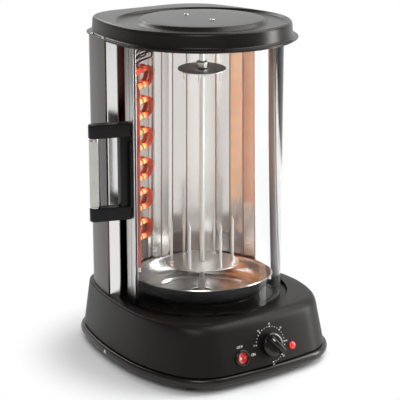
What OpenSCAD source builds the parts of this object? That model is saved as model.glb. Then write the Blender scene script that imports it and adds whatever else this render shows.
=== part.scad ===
// Vertical electric skewer grill.
// Origin: on the surface the feet stand on, under the spit axis. +Z is up, -Y is the control panel side.
// "Front angle" in these comments is measured about the spit axis from the front (-Y) towards +X.

/* [Chamber] */
// Outer radius of the curved door glass
glass_r = 106.5; // [100:0.5:115]
// Thickness of the door glass and of the fixed side glass
glass_t = 3; // [2.5:0.5:4]
// Height of the clear opening between the deck and the top frame
chamber_h = 343; // [300:1:380]
// Front angle of the left edge of the closed door
door_left = -103; // [-106:1:-95]
// Front angle of the right edge of the closed door
door_right = 79; // [60:1:85]
// Front angle where the fixed side glass starts
side_glass_from = 72; // [68:1:76]
// Front angle where the fixed side glass ends, behind the right pillar
side_glass_to = 106; // [100:1:107]

/* [Door] */
// Width of each metal edge strip along the curve
edge_w = 23; // [16:1:30]
// Wall of the metal edge strips
edge_t = 1.4; // [1:0.1:1.6]
// Depth of the shadow groove that divides each edge strip
edge_groove = 0.8; // [0.4:0.1:1]
// Height of the black shoes that run in the tracks
shoe_h = 8; // [6:0.5:12]
// Depth of the lower door track in the deck
track_depth = 4; // [3:0.5:5]
// Height of the centre of the door handle above the deck
handle_z = 179; // [150:1:220]
// Distance between the centres of the two handle arms
handle_span = 110; // [80:1:140]
// Height of each handle arm
arm_h = 18; // [12:1:22]
// Depth of each handle arm along the door
arm_w = 15; // [12:1:20]
// Reach from the door strip to the axis of the grip tube
handle_reach = 46; // [38:1:56]
// Outer radius of the grip tube
grip_r = 7; // [5:0.5:9]
// Angle by which the arms lean back from straight out
handle_lean = 12; // [0:1:15]

/* [Base] */
// Height of the deck above the floor
deck_z = 84; // [74:1:100]
// How far the base stands out past the lid wall at its widest
base_ledge = 20; // [18:1:26]
// Distance from the spit axis to the front of the base at the seam
base_front = 151; // [145:1:165]
// Distance from the spit axis to the back of the base at the seam
base_rear = 160; // [158:1:175]
// Radius of the front corners at the seam
corner_r = 65; // [50:1:75]
// Radius of the back corners at the seam
rear_corner_r = 65; // [55:1:67]
// How far the sides draw in from the seam to the deck
side_draft = 8.5; // [6:0.5:9]
// How much further the front leans back
front_lean = 9.5; // [4:0.5:12]
// Soft rounding of the top front edge
front_round = 12; // [6:1:16]
// Rounding of the top side edges
side_round = 2.5; // [1.5:0.5:3]
// Wall of the base moulding
base_wall = 2.5; // [2:0.25:3]
// Height of the lip on the bottom plate
lip_h = 11.5; // [8:0.5:14]
// How far the lip stands out past the base wall
lip_out = 5; // [3:0.5:7]
// Shadow gap between the lip and the base wall
seam_gap = 1.2; // [0.6:0.1:2]
// Height of the rubber feet below the lip
foot_h = 9; // [6:0.5:14]
// Radius of the rubber feet
foot_r = 10; // [8:0.5:13]

/* [Controls] */
// Sideways place of the timer knob
knob_x = 4; // [-10:1:12]
// Height of the timer knob axis on the panel
knob_z = 46.5; // [42:0.5:52]
// Radius of the timer knob
knob_r = 16; // [13:0.5:19]
// Height of the timer knob off the panel
knob_h = 17; // [13:0.5:22]
// Sideways place of the power switch
switch_x = -43; // [-60:1:-38]
// Height of the power switch axis on the panel
switch_z = 38.5; // [36:0.5:50]
// Radius of the hole for the power switch
switch_hole_r = 9.2; // [8:0.1:10]
// Sideways place of the indicator lamp
lamp_x = 39; // [30:1:60]
// Height of the indicator lamp axis on the panel
lamp_z = 37.5; // [35:0.5:50]
// Radius of the indicator lamp hole
lamp_hole_r = 4; // [3:0.25:5]

/* [Drip bowl] */
// Outer radius of the bowl rim
bowl_r = 93.4; // [84:0.2:94]
// Height of the bowl
bowl_h = 29; // [20:1:36]
// Radius of the bowl foot
bowl_foot_r = 66; // [50:1:70]
// Sheet thickness of the bowl
bowl_t = 1.2; // [1:0.1:2]

/* [Spit] */
// Radius of the spit rod
spit_r = 3.5; // [3:0.25:4.5]
// Radius of the drive journal in its bush
journal_r = 5; // [4.5:0.25:6]
// Height of the prong plate above the deck
plate_z = 42; // [40:1:60]
// Radius of the prong plate
plate_r = 50; // [35:1:60]
// Length of the upright prongs
prong_len = 62; // [40:1:80]
// Number of upright prongs
prong_count = 6; // [4:1:8]
// Radius of the upper clamp plate
clamp_r = 32; // [24:1:40]
// Height of the clamp plate above the deck
clamp_z = 296; // [240:1:300]

/* [Heater] */
// Radius of the heater tube
heater_r = 3.4; // [2.5:0.1:3.6]
// Number of heater passes, an even number
heater_rows = 12; // [8:2:12]
// Height between heater passes
heater_pitch = 20; // [17:0.5:21]
// Height of the top heater pass above the deck
heater_top = 284; // [250:1:290]
// Angle left of the back centre where the passes start
heater_from = 18; // [17:1:24]
// Angle left of the back centre where the passes end
heater_to = 64; // [50:1:66]
// Sheet thickness of the reflector
reflector_t = 1; // [0.8:0.1:1.5]
// Number of folded flats in the reflector
reflector_flats = 14; // [10:1:18]

/* [Housing and lid] */
// Gap between the door glass and the lid wall, measured outwards
lid_out = 11.5; // [10.5:0.5:16]
// Radius of the gently curved sides of the lid
lid_side_r = 340; // [320:5:350]
// Turn of the gently curved sides of the lid, in degrees
lid_side_a = 17; // [15:0.5:18]
// Radius of the back corners of the lid
lid_corner_r = 62; // [56:1:70]
// Height of the lid above the top frame plate
lid_h = 22; // [18:0.5:30]
// Wall of the lid
lid_t = 2; // [1.5:0.1:2.5]
// How far the lid rim flares out
rim_out = 7; // [6.5:0.5:9]
// Thickness of the flared rim
rim_t = 1.9; // [1.2:0.1:2.5]
// Depth of the ring-shaped dish in the top of the lid
dish_depth = 3.5; // [2:0.5:5]
// Sheet thickness of the steel housing
sheet_t = 1.2; // [0.8:0.1:1.6]
// Depth of the steel housing outside the lid wall
housing_out = 4.5; // [3.5:0.1:5.5]
// Distance behind the spit axis where the housing sides begin
housing_from = 50; // [46:1:60]
// Width of the bright face of each pillar
pillar_w = 15; // [10:1:16]

/* [Hidden] */

$fn = 96;
eps = 0.01;
clear = 0.3;          // gap between pieces that pass each other
run = 0.05;           // radial clearance of a running fit

// chamber radii, from the glass inwards and outwards
glass_in = glass_r - glass_t;
edge_out = glass_r + edge_t;
edge_in = glass_in - edge_t;
track_in = edge_in - 0.7;
reflector_r = track_in - 2.4;
heater_path_r = reflector_r - heater_r - 2.1;
side_glass_in = edge_out + 1.6;
side_glass_out = side_glass_in + glass_t;
lid_r = glass_r + lid_out;
track_out = lid_r - 2.5;
frame_track_out = side_glass_out + 1.2;
track_floor = deck_z - track_depth;

// heights
frame_z = deck_z + chamber_h;
frame_plate_t = 1.8;
frame_rim_h = 6;
frame_track_z = frame_z + 4.5;
rim_z = frame_z + frame_plate_t + 0.2;
lid_top = rim_z + lid_h;
lip_z = foot_h;
seam_z = lip_z + lip_h + seam_gap;

function at(r, front_angle) = r * [sin(front_angle), -cos(front_angle)];

// ---- outlines made of arcs that meet smoothly; seg = [radius, turn], offset inwards by d ----
arc_step = 4.5;
function arc_n(turn) = max(2, ceil(turn / arc_step));
function seg_end(p, a, s, d) =
    p + (s[0] - d) * [sin(a + s[1]) - sin(a), cos(a) - cos(a + s[1])];
function seg_pts(p, a, s, d) =
    [for (k = [0 : arc_n(s[1]) - 1]) seg_end(p, a, [s[0], s[1] * k / arc_n(s[1])], d)];
function walk(p, a, segs, d, i = 0) =
    i == len(segs) ? [p]
    : concat(seg_pts(p, a, segs[i], d), walk(seg_end(p, a, segs[i], d), a + segs[i][1], segs, d, i + 1));
function both_sides(half) =
    concat(half, [for (i = [len(half) - 1 : -1 : 1]) if (half[i][0] > eps) [-half[i][0], half[i][1]]]);

// lid: the front half circle, gently curved sides, round back corners, straight back
function lid_half(d) = concat(
    walk([0, -lid_r + d], 0, [[lid_r, 90], [lid_side_r, lid_side_a], [lid_corner_r, 90 - lid_side_a]], d),
    [[0, lid_back - d]]);
lid_back = lid_side_r * sin(lid_side_a) + lid_corner_r * (1 - sin(lid_side_a));
function lid_outline(out) = both_sides(lid_half(-out));

// base: slightly bowed front, round corners, flanks that draw in towards the back
base_half_w = lid_r + base_ledge;
bow_a = 6;
corner_a = 62;
flank_a = 90 - bow_a - corner_a;
flank_r = 214;
side_r = 450;
side_a = 18;
bow_half = base_half_w - flank_r * (1 - cos(flank_a)) - corner_r * (sin(bow_a + corner_a) - sin(bow_a));
bow_r = bow_half / sin(bow_a);
base_wide_y = -base_front + bow_r * (1 - cos(bow_a))
    + corner_r * (cos(bow_a) - cos(bow_a + corner_a)) + flank_r * cos(bow_a + corner_a);
side_end = [base_half_w - side_r * (1 - cos(side_a)), base_wide_y + side_r * sin(side_a)];
rear_start_y = base_rear - rear_corner_r * (1 - sin(side_a));
side_flat = (rear_start_y - side_end[1]) / cos(side_a);
rear_start = side_end + side_flat * [-sin(side_a), cos(side_a)];
function base_half(d) = concat(
    walk([0, -base_front + d], 0,
         [[bow_r, bow_a], [corner_r, corner_a], [flank_r, flank_a], [side_r, side_a]], d),
    walk(rear_start - d * [cos(side_a), sin(side_a)], 90 + side_a, [[rear_corner_r, 90 - side_a]], d),
    [[0, base_rear - d]]);
// the front half is also drawn back by the lean
function lean(p, back) =
    p[1] < base_wide_y ? [p[0], base_wide_y + (p[1] - base_wide_y) * (1 - back / (base_front + base_wide_y))]
    : p;
function base_outline(d, back) = [for (p = both_sides(base_half(d))) lean(p, back)];

// a solid through stacked outlines of equal length: sections = [[outline, z], ...] from bottom to top
module loft(sections) {
    n = len(sections[0][0]);
    m = len(sections);
    polyhedron(
        points = [for (s = sections) for (p = s[0]) [p[0], p[1], s[1]]],
        faces = concat(
            [[for (i = [0 : n - 1]) i]],
            [[for (i = [0 : n - 1]) m * n - 1 - i]],
            [for (k = [0 : m - 2]) for (i = [0 : n - 1])
                for (f = [[0, 2, 1], [0, 3, 2]])
                    let (q = [k * n + i, k * n + (i + 1) % n, (k + 1) * n + (i + 1) % n, (k + 1) * n + i])
                        [q[f[0]], q[f[1]], q[f[2]]]]),
        convexity = 6);
}

// a slab between two radii and two front angles
module sector(r0, r1, a0, a1, h) {
    rotate([0, 0, a0 - 90]) rotate_extrude(angle = a1 - a0) translate([r0, 0]) square([r1 - r0, h]);
}
module ring(r0, r1, h) {
    rotate_extrude() translate([r0, 0]) square([r1 - r0, h]);
}
module at_z(z) {
    translate([0, 0, z]) children();
}

// ---- base ----
wall_rise = deck_z - seam_z;
function base_level(z) = (z - seam_z) / wall_rise;
// outline of the base wall at a height, taken in by an extra amount all round
function wall_at(z, extra) = base_outline(side_draft * base_level(z) + extra, front_lean * base_level(z));
round_steps = 5;
// rounding of the top edge: small at the sides, soft at the front
function round_level(k) =
    let (a = 90 * k / round_steps, z = deck_z - side_round * (1 - sin(a)))
    [base_outline(side_draft * base_level(z) + side_round * (1 - cos(a)),
                  front_lean * base_level(z) + front_back(z)), z];
function front_back(z) =
    let (s = max(0, front_round - (deck_z - z))) front_round - sqrt(pow(front_round, 2) - s * s);
function front_level(z) =
    [base_outline(side_draft * base_level(z), front_lean * base_level(z) + front_back(z)), z];

// how far the front has drawn back at a level, and the frames that sit square on the front and back walls
function front_back_at(t) =
    side_draft * t + front_lean * t * (1 - side_draft * t / (base_front + base_wide_y));
panel_tilt = atan(front_back_at(1) / wall_rise);
module on_panel(x, z) {
    turn = asin(x / bow_r);
    translate([x, -base_front + front_back_at(base_level(z)) + bow_r * (1 - cos(turn)), z])
        rotate([0, 0, turn]) rotate([90 - panel_tilt, 0, 0]) children();
}
rear_tilt = atan(side_draft / wall_rise);
module on_rear(z) {
    translate([0, base_rear - side_draft * base_level(z), z]) rotate([rear_tilt - 90, 0, 0]) children();
}
bush_hole_r = 9;
lip_screw_y = 29;
lip_screw_r = 1.5;
lip_mid_z = lip_z + lip_h / 2;
lip_wall = 1.5;
lip_screw_x = base_half_w - (side_r - sqrt(pow(side_r, 2) - pow(lip_screw_y - base_wide_y, 2)));
tab_x = lip_screw_x - lip_wall - clear - 0.9;
module lip_screw_places() {
    for (s = [-1, 1]) translate([s * (lip_screw_x + lip_out), lip_screw_y, lip_mid_z]) rotate([0, s * 90, 0])
        children();
}
boss_r = 6;
screw_r = 2;
boss_places = [for (p = [[92, -86], [104, 28], [60, 120]]) for (s = [-1, 1]) [s * p[0], p[1]]];
foot_places = [for (p = [[97, -108], [76, 136]]) for (s = [-1, 1]) [s * p[0], p[1]]];
plate_t = 2.5;
plate_top = lip_z + plate_t;
motor_boss_y = 34;
cavity_top = deck_z - base_wall;
gland_r = 6.5;
gland_z = 44;
bowl_ring_r = bowl_foot_r + 1.5;
vent_count = 9;
vent_pitch = 9;

module base_shell() color([0.08, 0.07, 0.065]) {
    difference() {
        union() {
            difference() {
                loft(concat(
                    [[wall_at(seam_z, 0), seam_z]],
                    [for (k = [0 : 3]) front_level(deck_z - front_round + k * (front_round - side_round) / 3)],
                    [for (k = [1 : round_steps]) round_level(k)]));
                loft([[wall_at(seam_z - 1, base_wall), seam_z - 1],
                      [wall_at(deck_z - front_round, base_wall), deck_z - front_round],
                      [base_outline(side_draft * base_level(cavity_top) + base_wall + 1,
                                    front_lean * base_level(cavity_top) + front_round * 0.7), cavity_top]]);
            }
            at_z(track_floor - base_wall)
                ring(track_in - base_wall, track_out + base_wall, deck_z - track_floor + base_wall - 1);
            at_z(cavity_top - eps) ring(bush_hole_r, bush_hole_r + 4, base_wall);
            // bosses for the bottom plate and for the motor bracket
            for (p = boss_places) translate([p[0], p[1], plate_top]) cylinder(r = boss_r, h = cavity_top + 1 - plate_top);
            for (s = [-1, 1]) translate([0, s * motor_boss_y, bracket_top])
                cylinder(r = boss_r, h = cavity_top + 1 - bracket_top);
            // tabs that hang inside the lip for the side screws
            for (s = [-1, 1]) translate([s * (tab_x - 1.5), lip_screw_y, lip_z + 4]) linear_extrude(seam_z + 2 - lip_z - 4)
                square([3, 12], center = true);
            // ring that centres the bowl
            at_z(deck_z - 1) ring(bowl_ring_r, bowl_ring_r + 2.5, 3);
        }
        at_z(track_floor) ring(track_in, track_out, track_depth + 1);
        at_z(deck_z - 1) ring(track_in - 7, track_in - 5.8, 2);
        at_z(cavity_top - 5) cylinder(r = bush_hole_r, h = 20);
        for (p = boss_places) translate([p[0], p[1], plate_top - 1]) cylinder(r = screw_r - 0.3, h = 16);
        for (s = [-1, 1]) translate([0, s * motor_boss_y, bracket_top - 1]) cylinder(r = screw_r - 0.3, h = 13);
        lip_screw_places() cylinder(r = lip_screw_r + 0.2, h = 40, center = true);
        for (i = [0 : 1]) at_z(cavity_top - 10) translate(lead_at(i)) cylinder(r = lead_r + 0.5, h = 20);
        on_panel(knob_x, knob_z) cylinder(r = spindle_hole_r, h = 20, center = true);
        on_panel(switch_x, switch_z) cylinder(r = switch_hole_r, h = 20, center = true);
        on_panel(lamp_x, lamp_z) cylinder(r = lamp_hole_r, h = 20, center = true);
        on_rear(gland_z) cylinder(r = gland_r, h = 20, center = true);
    }
}

// bottom plate with the rolled lip that shows round the foot of the base
lip_steps = 4;
module base_plate() color([0.07, 0.065, 0.06]) {
    difference() {
        loft([for (k = [0 : 2 * lip_steps])
            let (a = -90 + 180 * k / (2 * lip_steps), r = lip_h / 2)
            [base_outline(r * 0.55 * (1 - cos(a)) - lip_out, 0), lip_z + r + r * sin(a)]]);
        at_z(plate_top) loft([[base_outline(lip_wall, 0), 0], [base_outline(lip_wall, 0), lip_h]]);
        lip_screw_places() {
            cylinder(r = lip_screw_r + 0.3, h = 30, center = true);
            at_z(-1) cylinder(r = 3.2, h = 4);
        }
        for (p = boss_places) translate([p[0], p[1], lip_z - 1]) {
            cylinder(r = screw_r + 0.3, h = 12);
            cylinder(r = 4.6, h = 2);
        }
        for (i = [0 : vent_count - 1]) translate([(i - (vent_count - 1) / 2) * vent_pitch, 60, lip_z - 1])
            linear_extrude(plate_t + 2) slot_shape(4, 46);
    }
}
module slot_shape(w, len) {
    for (s = [-1, 1]) translate([0, s * (len - w) / 2]) circle(d = w, $fn = 24);
    square([w, len - w], center = true);
}

module rubber_feet() color([0.04, 0.04, 0.04]) {
    for (p = foot_places) translate([p[0], p[1], 0]) rotate_extrude()
        polygon([[0, 0], [foot_r - 1.5, 0], [foot_r - 0.5, 1], [foot_r, foot_h], [0, foot_h]]);
}

module base_screws() color("silver") {
    for (p = boss_places) translate([p[0], p[1], lip_z - 0.8]) {
        cylinder(r = screw_r - 0.35, h = 13);
        difference() {
            cylinder(r = 4.2, h = 1.7);
            at_z(-0.1) cube([5, 0.9, 1.8], center = true);
        }
    }
    lip_screw_places() at_z(-1) {
        rotate_extrude() polygon([[0, 0], [3, 0], [3, 0.6], [2.4, 1.2], [0, 1.5]]);
        at_z(-8) cylinder(r = lip_screw_r, h = 8.5);
    }
}

gland_flange_r = gland_r + 3;
gland_bore_r = 4;
module cord_gland() color([0.05, 0.05, 0.05]) {
    on_rear(gland_z) difference() {
        union() {
            at_z(-base_wall - 2) cylinder(r = gland_r - 0.2, h = base_wall + 3);
            at_z(0.1) cylinder(r1 = gland_flange_r, r2 = gland_flange_r - 1.5, h = 3.5);
            at_z(-base_wall - 2.8) cylinder(r = gland_flange_r - 1, h = 2.6);
        }
        at_z(-base_wall - 6) cylinder(r = gland_bore_r, h = 20);
    }
}

// ---- drive ----
motor_r = 25;
motor_h = 19;
bracket_t = 1.5;
bracket_z = deck_z - 26;
bracket_top = bracket_z + bracket_t;
hub_z = bracket_top + 2;
hub_h = 9;
hub_r = 9;
motor_shaft_r = 3.5;
motor_z = bracket_z - motor_h;
bush_flange_r = bush_hole_r + 3;
bush_len = 12;
bush_z = deck_z + 1.4 - bush_len;
stub_r = 4;
stub_top = deck_z + 6.5;
tang = 4.4;
tang_h = 9;

module drive_motor() color([0.72, 0.72, 0.7]) {
    difference() {
        union() {
            at_z(motor_z) rotate_extrude()
                polygon([[0, 0], [motor_r - 1, 0], [motor_r, 1], [motor_r, motor_h - 1], [motor_r - 1, motor_h],
                         [0, motor_h]]);
            // gear case nose that stands through the bracket, and the terminal block
            at_z(bracket_z - 0.5) cylinder(r = 7, h = bracket_t + 1.3);
            translate([motor_r - 2, -8, motor_z + 3]) cube([9, 16, 7]);
        }
        at_z(motor_z + 8) cylinder(r = motor_shaft_r + run, h = 40);
    }
}

module motor_bracket() color("silver") {
    difference() {
        at_z(bracket_z) linear_extrude(bracket_t) union() {
            circle(r = 20);
            for (s = [-1, 1]) translate([0, s * motor_boss_y / 2]) square([14, motor_boss_y], center = true);
            for (s = [-1, 1]) translate([0, s * motor_boss_y]) circle(r = 7);
        }
        at_z(bracket_z - 1) cylinder(r = 7.2, h = 5);
        for (s = [-1, 1]) translate([0, s * motor_boss_y, bracket_z - 1]) cylinder(r = screw_r + 0.3, h = 5);
    }
}

module motor_screws() color("silver") {
    for (s = [-1, 1]) translate([0, s * motor_boss_y, bracket_z]) {
        at_z(-2) cylinder(r = 4, h = 2);
        cylinder(r = screw_r - 0.35, h = 10);
    }
}

module shaft_bush() color([0.72, 0.55, 0.25]) {
    difference() {
        union() {
            at_z(bush_z) cylinder(r = bush_hole_r - 0.05, h = bush_len);
            at_z(deck_z) cylinder(r = bush_flange_r, h = 1.4);
        }
        at_z(bush_z - 1) cylinder(r = journal_r + run, h = bush_len + 3);
    }
}

// ---- controls ----
spindle_r = 3;
spindle_hole_r = 4.5;
timer_w = 44;
timer_d = 26;
module timer_unit() color([0.78, 0.76, 0.7]) {
    on_panel(knob_x, knob_z) difference() {
        union() {
            at_z(-base_wall - 1.2 - timer_d) linear_extrude(timer_d) rounded_square(timer_w, 38, 3);
            at_z(-base_wall - 1.3) cylinder(r = 4.2, h = base_wall + 0.8);
        }
        at_z(-base_wall - 15) cylinder(r = spindle_r + run, h = 30);
    }
}
module rounded_square(w, h, r) {
    for (x = [-1, 1]) for (y = [-1, 1])
        translate([x * (w / 2 - r), y * (h / 2 - r)]) circle(r = r, $fn = 24);
    square([w, h - 2 * r], center = true);
    square([w - 2 * r, h], center = true);
}

module timer_spindle() color("silver") {
    on_panel(knob_x, knob_z) at_z(-base_wall - 14) difference() {
        cylinder(r = spindle_r, h = base_wall + 14 + knob_h - 6);
        translate([1.6, -5, base_wall + 14 + 3]) cube([10, 10, 20]);
    }
}

// round skirt, slimmer crown and a raised grip bar across it
grip_angle = 40;
module timer_knob() color([0.03, 0.03, 0.03]) {
    on_panel(knob_x, knob_z) difference() {
        union() {
            at_z(1) rotate_extrude() polygon(concat(
                [[0, 0], [knob_r, 0]],
                [for (a = [0 : 15 : 90]) [knob_r - 4.5 + 4.5 * cos(a), knob_h - 10 + 2.5 * sin(a)]],
                [[0, knob_h - 7.5]]));
            rotate([0, 0, grip_angle]) intersection() {
                at_z(2) cylinder(r = knob_r - 1.5, h = knob_h - 2);
                at_z(knob_h) rotate([90, 0, 0]) linear_extrude(2 * knob_r, center = true)
                    polygon([[-5.5, -9], [5.5, -9], [3.4, -1.2], [2.4, 0], [-2.4, 0], [-3.4, -1.2]]);
            }
        }
        at_z(0.5) difference() {
            cylinder(r = spindle_r + 0.02, h = knob_h - 5);
            translate([1.6 + 0.02, -5, 4]) cube([10, 10, 20]);
        }
        at_z(0.5) difference() {
            cylinder(r = knob_r - 2, h = 3.5);
            cylinder(r = 6, h = 3.5);
        }
    }
}

bezel_r = switch_hole_r + 1.6;
rocker_r = switch_hole_r - 1.6;
rocker_axis = 1.2;
rocker_tilt = 8;
module switch_body() color([0.06, 0.06, 0.06]) {
    on_panel(switch_x, switch_z) difference() {
        union() {
            at_z(0.12) cylinder(r1 = bezel_r, r2 = bezel_r - 0.8, h = 2);
            at_z(-base_wall - 14) cylinder(r = switch_hole_r - 0.15, h = base_wall + 14.5);
        }
        at_z(-9) cylinder(r = rocker_r + clear, h = 20);
        for (s = [-1, 1]) translate([0, s * (rocker_r - 0.6), rocker_axis - 3]) rotate([90, 0, 0])
            cylinder(r = 1.1 + run, h = 3.4, center = true);
    }
}
// dished round rocker on two short pins; its pivot runs up the panel
module switch_rocker() color([0.75, 0.05, 0.04]) {
    on_panel(switch_x, switch_z) at_z(rocker_axis - 3) rotate([0, rocker_tilt, 0]) {
        difference() {
            intersection() {
                rotate([90, 0, 0]) cylinder(r = rocker_r - 0.3, h = 2 * rocker_r, center = true);
                at_z(-4) cylinder(r = rocker_r - 0.35, h = 8.2);
            }
            at_z(38.5) rotate([90, 0, 0]) cylinder(r = 36, h = 40, center = true);
        }
        rotate([90, 0, 0]) cylinder(r = 1.1, h = 2 * rocker_r + 1, center = true);
    }
}

module indicator_lamp() color([0.9, 0.08, 0.05]) {
    on_panel(lamp_x, lamp_z) rotate_extrude() polygon(concat(
        [[0, -8], [lamp_hole_r - 0.1, -8], [lamp_hole_r - 0.1, 0.1], [lamp_hole_r + 1, 0.1]],
        [for (a = [0 : 15 : 90]) [(lamp_hole_r + 1) * cos(a), 0.8 + 2.4 * sin(a)]]));
}

// ---- housing ----
housing_h = frame_z + 1 - deck_z;
back_vents = 10;
module rear_housing() color([0.62, 0.62, 0.62]) {
    at_z(deck_z) difference() {
        linear_extrude(housing_h) difference() {
            polygon(lid_outline(housing_out));
            polygon(lid_outline(housing_out - sheet_t));
            translate([-base_rear, -base_rear]) square([2 * base_rear, base_rear + housing_from]);
        }
        for (i = [0 : back_vents - 1])
            translate([0, lid_back, housing_h - 40 - 8 * i]) rotate([90, 0, 0])
                linear_extrude(40, center = true) rotate(90) slot_shape(3, 44);
    }
}

// bright folded strip at the front edge of each side; its face looks towards the front corner
pillar_t = 1.6;
pillar_turn = 45;
function pillar_line(d) =
    let (p0 = [-(lid_r + housing_out - d), housing_from + 6],
         p1 = [-(lid_r + housing_out - d) + side_inset(housing_from), housing_from - 0.3],
         p2 = p1 + pillar_w * [sin(pillar_turn), -cos(pillar_turn)],
         p3 = p2 + 4 * [cos(pillar_turn), sin(pillar_turn)])
    [p0 + [side_inset(housing_from + 6), 0], p1, p2, p3];
// how far the side of the housing has drawn in at a distance behind the spit axis
function side_inset(y) = let (r = lid_side_r + housing_out) r - sqrt(r * r - y * y);
module pillar() {
    at_z(deck_z) linear_extrude(chamber_h - clear) union() {
        for (i = [1 : 2]) hull() {
            translate(pillar_line(sheet_t + 1.2)[i]) circle(d = pillar_t, $fn = 24);
            translate(pillar_line(sheet_t + 1.2)[i + 1]) circle(d = pillar_t, $fn = 24);
        }
        hull() {
            translate(pillar_line(sheet_t + 1.2)[0]) circle(d = pillar_t, $fn = 24);
            translate(pillar_line(sheet_t + 1.2)[1]) circle(d = pillar_t, $fn = 24);
        }
    }
}
module left_pillar() color([0.8, 0.8, 0.8]) pillar();
module right_pillar() color([0.8, 0.8, 0.8]) mirror([1, 0, 0]) pillar();

// ---- heater side of the chamber ----
reflector_span = 84;
function flat_line(r) = [for (i = [0 : reflector_flats])
    at(r, 180 - reflector_span + 2 * reflector_span * i / reflector_flats)];
flat_share = cos(reflector_span / reflector_flats);
module reflector() color([0.85, 0.83, 0.8]) {
    outer = flat_line(reflector_r + reflector_t);
    inner = flat_line(reflector_r);
    at_z(deck_z) linear_extrude(chamber_h - clear)
        polygon(concat(outer, [for (i = [len(inner) - 1 : -1 : 0]) inner[i]]));
}

// folded cover strip down the back centre, with the wires behind it
channel_w = 24;
channel_d = 3.5;
module wire_channel() color([0.75, 0.73, 0.7]) {
    back = min(reflector_r * flat_share, reflector_r - channel_w / 2 * tan(reflector_span / reflector_flats)) - 0.2;
    at_z(deck_z) linear_extrude(chamber_h - clear) difference() {
        translate([-channel_w / 2, back - channel_d]) square([channel_w, channel_d]);
        translate([-channel_w / 2 + 1, back - channel_d + 1]) square([channel_w - 2, channel_d]);
        translate([-0.6, back - channel_d - 1]) square([1.2, 1.5]);
    }
}

function back_point(a, r) = r * [cos(90 + a), sin(90 + a)];
heater_bottom = deck_z + heater_top - (heater_rows - 1) * heater_pitch;
bend_deg = heater_pitch / 2 / heater_path_r * 180 / PI;
leg_bend = 9;
leg_a = [heater_to + 5, heater_to + 12];
leg_top = [heater_bottom, deck_z + heater_top];
leg_stop = deck_z + bowl_h + 17;
lead_r = 1.2;
lead_in = 1.9;

module tube_section() {
    circle(r = heater_r, $fn = 48);
}
// the lengths of tube stop just short of each other inside slightly larger collars
collar_gap = 0.3;
gap_deg = collar_gap / heater_path_r * 180 / PI;
module tube_collar(a, z, r = heater_r + 0.2, len = 3) {
    at_z(z) rotate([0, 0, 90 + a]) translate([heater_path_r, 0, 0]) rotate([90, 0, 0])
        cylinder(r = r, h = len, center = true, $fn = 48);
}
module tube_row(a0, a1, z) {
    at_z(z) rotate([0, 0, 90 + a0 + gap_deg]) rotate_extrude(angle = a1 - a0 - 2 * gap_deg)
        translate([heater_path_r, 0]) tube_section();
    tube_collar(a0, z);
    tube_collar(a1, z);
}
module u_bend(a, z, side) {
    translate([back_point(a, heater_path_r)[0], back_point(a, heater_path_r)[1], z]) rotate([0, 0, 90 + a])
        rotate([0, 90, 0]) rotate([0, 0, side > 0 ? 0 : 180]) rotate_extrude(angle = 180)
            translate([heater_pitch / 2, 0]) tube_section();
}
// quarter bend from a pass down into its straight leg, which stops above the bowl
function leg_at(i) =
    back_point(leg_a[i], heater_path_r) + leg_bend * [cos(180 + leg_a[i]), sin(180 + leg_a[i])];
function lead_at(i) = leg_at(i) * (1 + lead_in / norm(leg_at(i)));
module leg(i) {
    z = leg_top[i];
    p = back_point(leg_a[i], heater_path_r);
    translate([p[0], p[1], z - leg_bend]) rotate([0, 0, 90 + leg_a[i]]) rotate([0, 90, 0])
        rotate([0, 0, 90]) rotate_extrude(angle = 90) translate([leg_bend, 0]) tube_section();
    translate([leg_at(i)[0], leg_at(i)[1], leg_stop])
        cylinder(r = heater_r, h = z - leg_bend - collar_gap - leg_stop, $fn = 48);
    translate([leg_at(i)[0], leg_at(i)[1], z - leg_bend])
        cylinder(r = heater_r + 0.2, h = 3, center = true, $fn = 48);
}
module heater() color([0.95, 0.4, 0.1]) {
    for (i = [0 : heater_rows - 1])
        tube_row(heater_from, i == 0 ? leg_a[0] : i == heater_rows - 1 ? leg_a[1] : heater_to,
            heater_bottom + i * heater_pitch);
    for (i = [0 : heater_rows - 2])
        u_bend(i % 2 == 0 ? heater_from : heater_to, heater_bottom + (i + 0.5) * heater_pitch, i % 2 == 0 ? -1 : 1);
    for (i = [0 : 1]) leg(i);
}
// ceramic end beads and the thin leads that go down through the deck behind the bowl
module heater_leads() color([0.9, 0.88, 0.82]) {
    for (i = [0 : 1]) {
        translate([leg_at(i)[0], leg_at(i)[1], leg_stop - 6]) cylinder(r = heater_r, h = 6, $fn = 32);
        translate([lead_at(i)[0], lead_at(i)[1], cavity_top - 6])
            cylinder(r = lead_r, h = leg_stop - 5 - cavity_top + 6, $fn = 24);
    }
}
// two upright strips with a saddle round each pass
clip_angles = [heater_from + 9, heater_to - 12];
clip_w = 6;
module heater_clips() color([0.6, 0.58, 0.55]) {
    half = clip_w / heater_path_r * 90 / PI;
    for (a = clip_angles) {
        at_z(heater_bottom - 8) sector(heater_path_r + heater_r, heater_path_r + heater_r + 1, 180 + a - half,
            180 + a + half, heater_top - (heater_bottom - deck_z) + 16);
        for (i = [0 : heater_rows - 1]) at_z(heater_bottom + i * heater_pitch) rotate([0, 0, 90 + a - half / 2])
            rotate_extrude(angle = half) translate([heater_path_r, 0]) difference() {
                circle(r = heater_r + 0.8, $fn = 32);
                circle(r = heater_r, $fn = 32);
            }
    }
}
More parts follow.
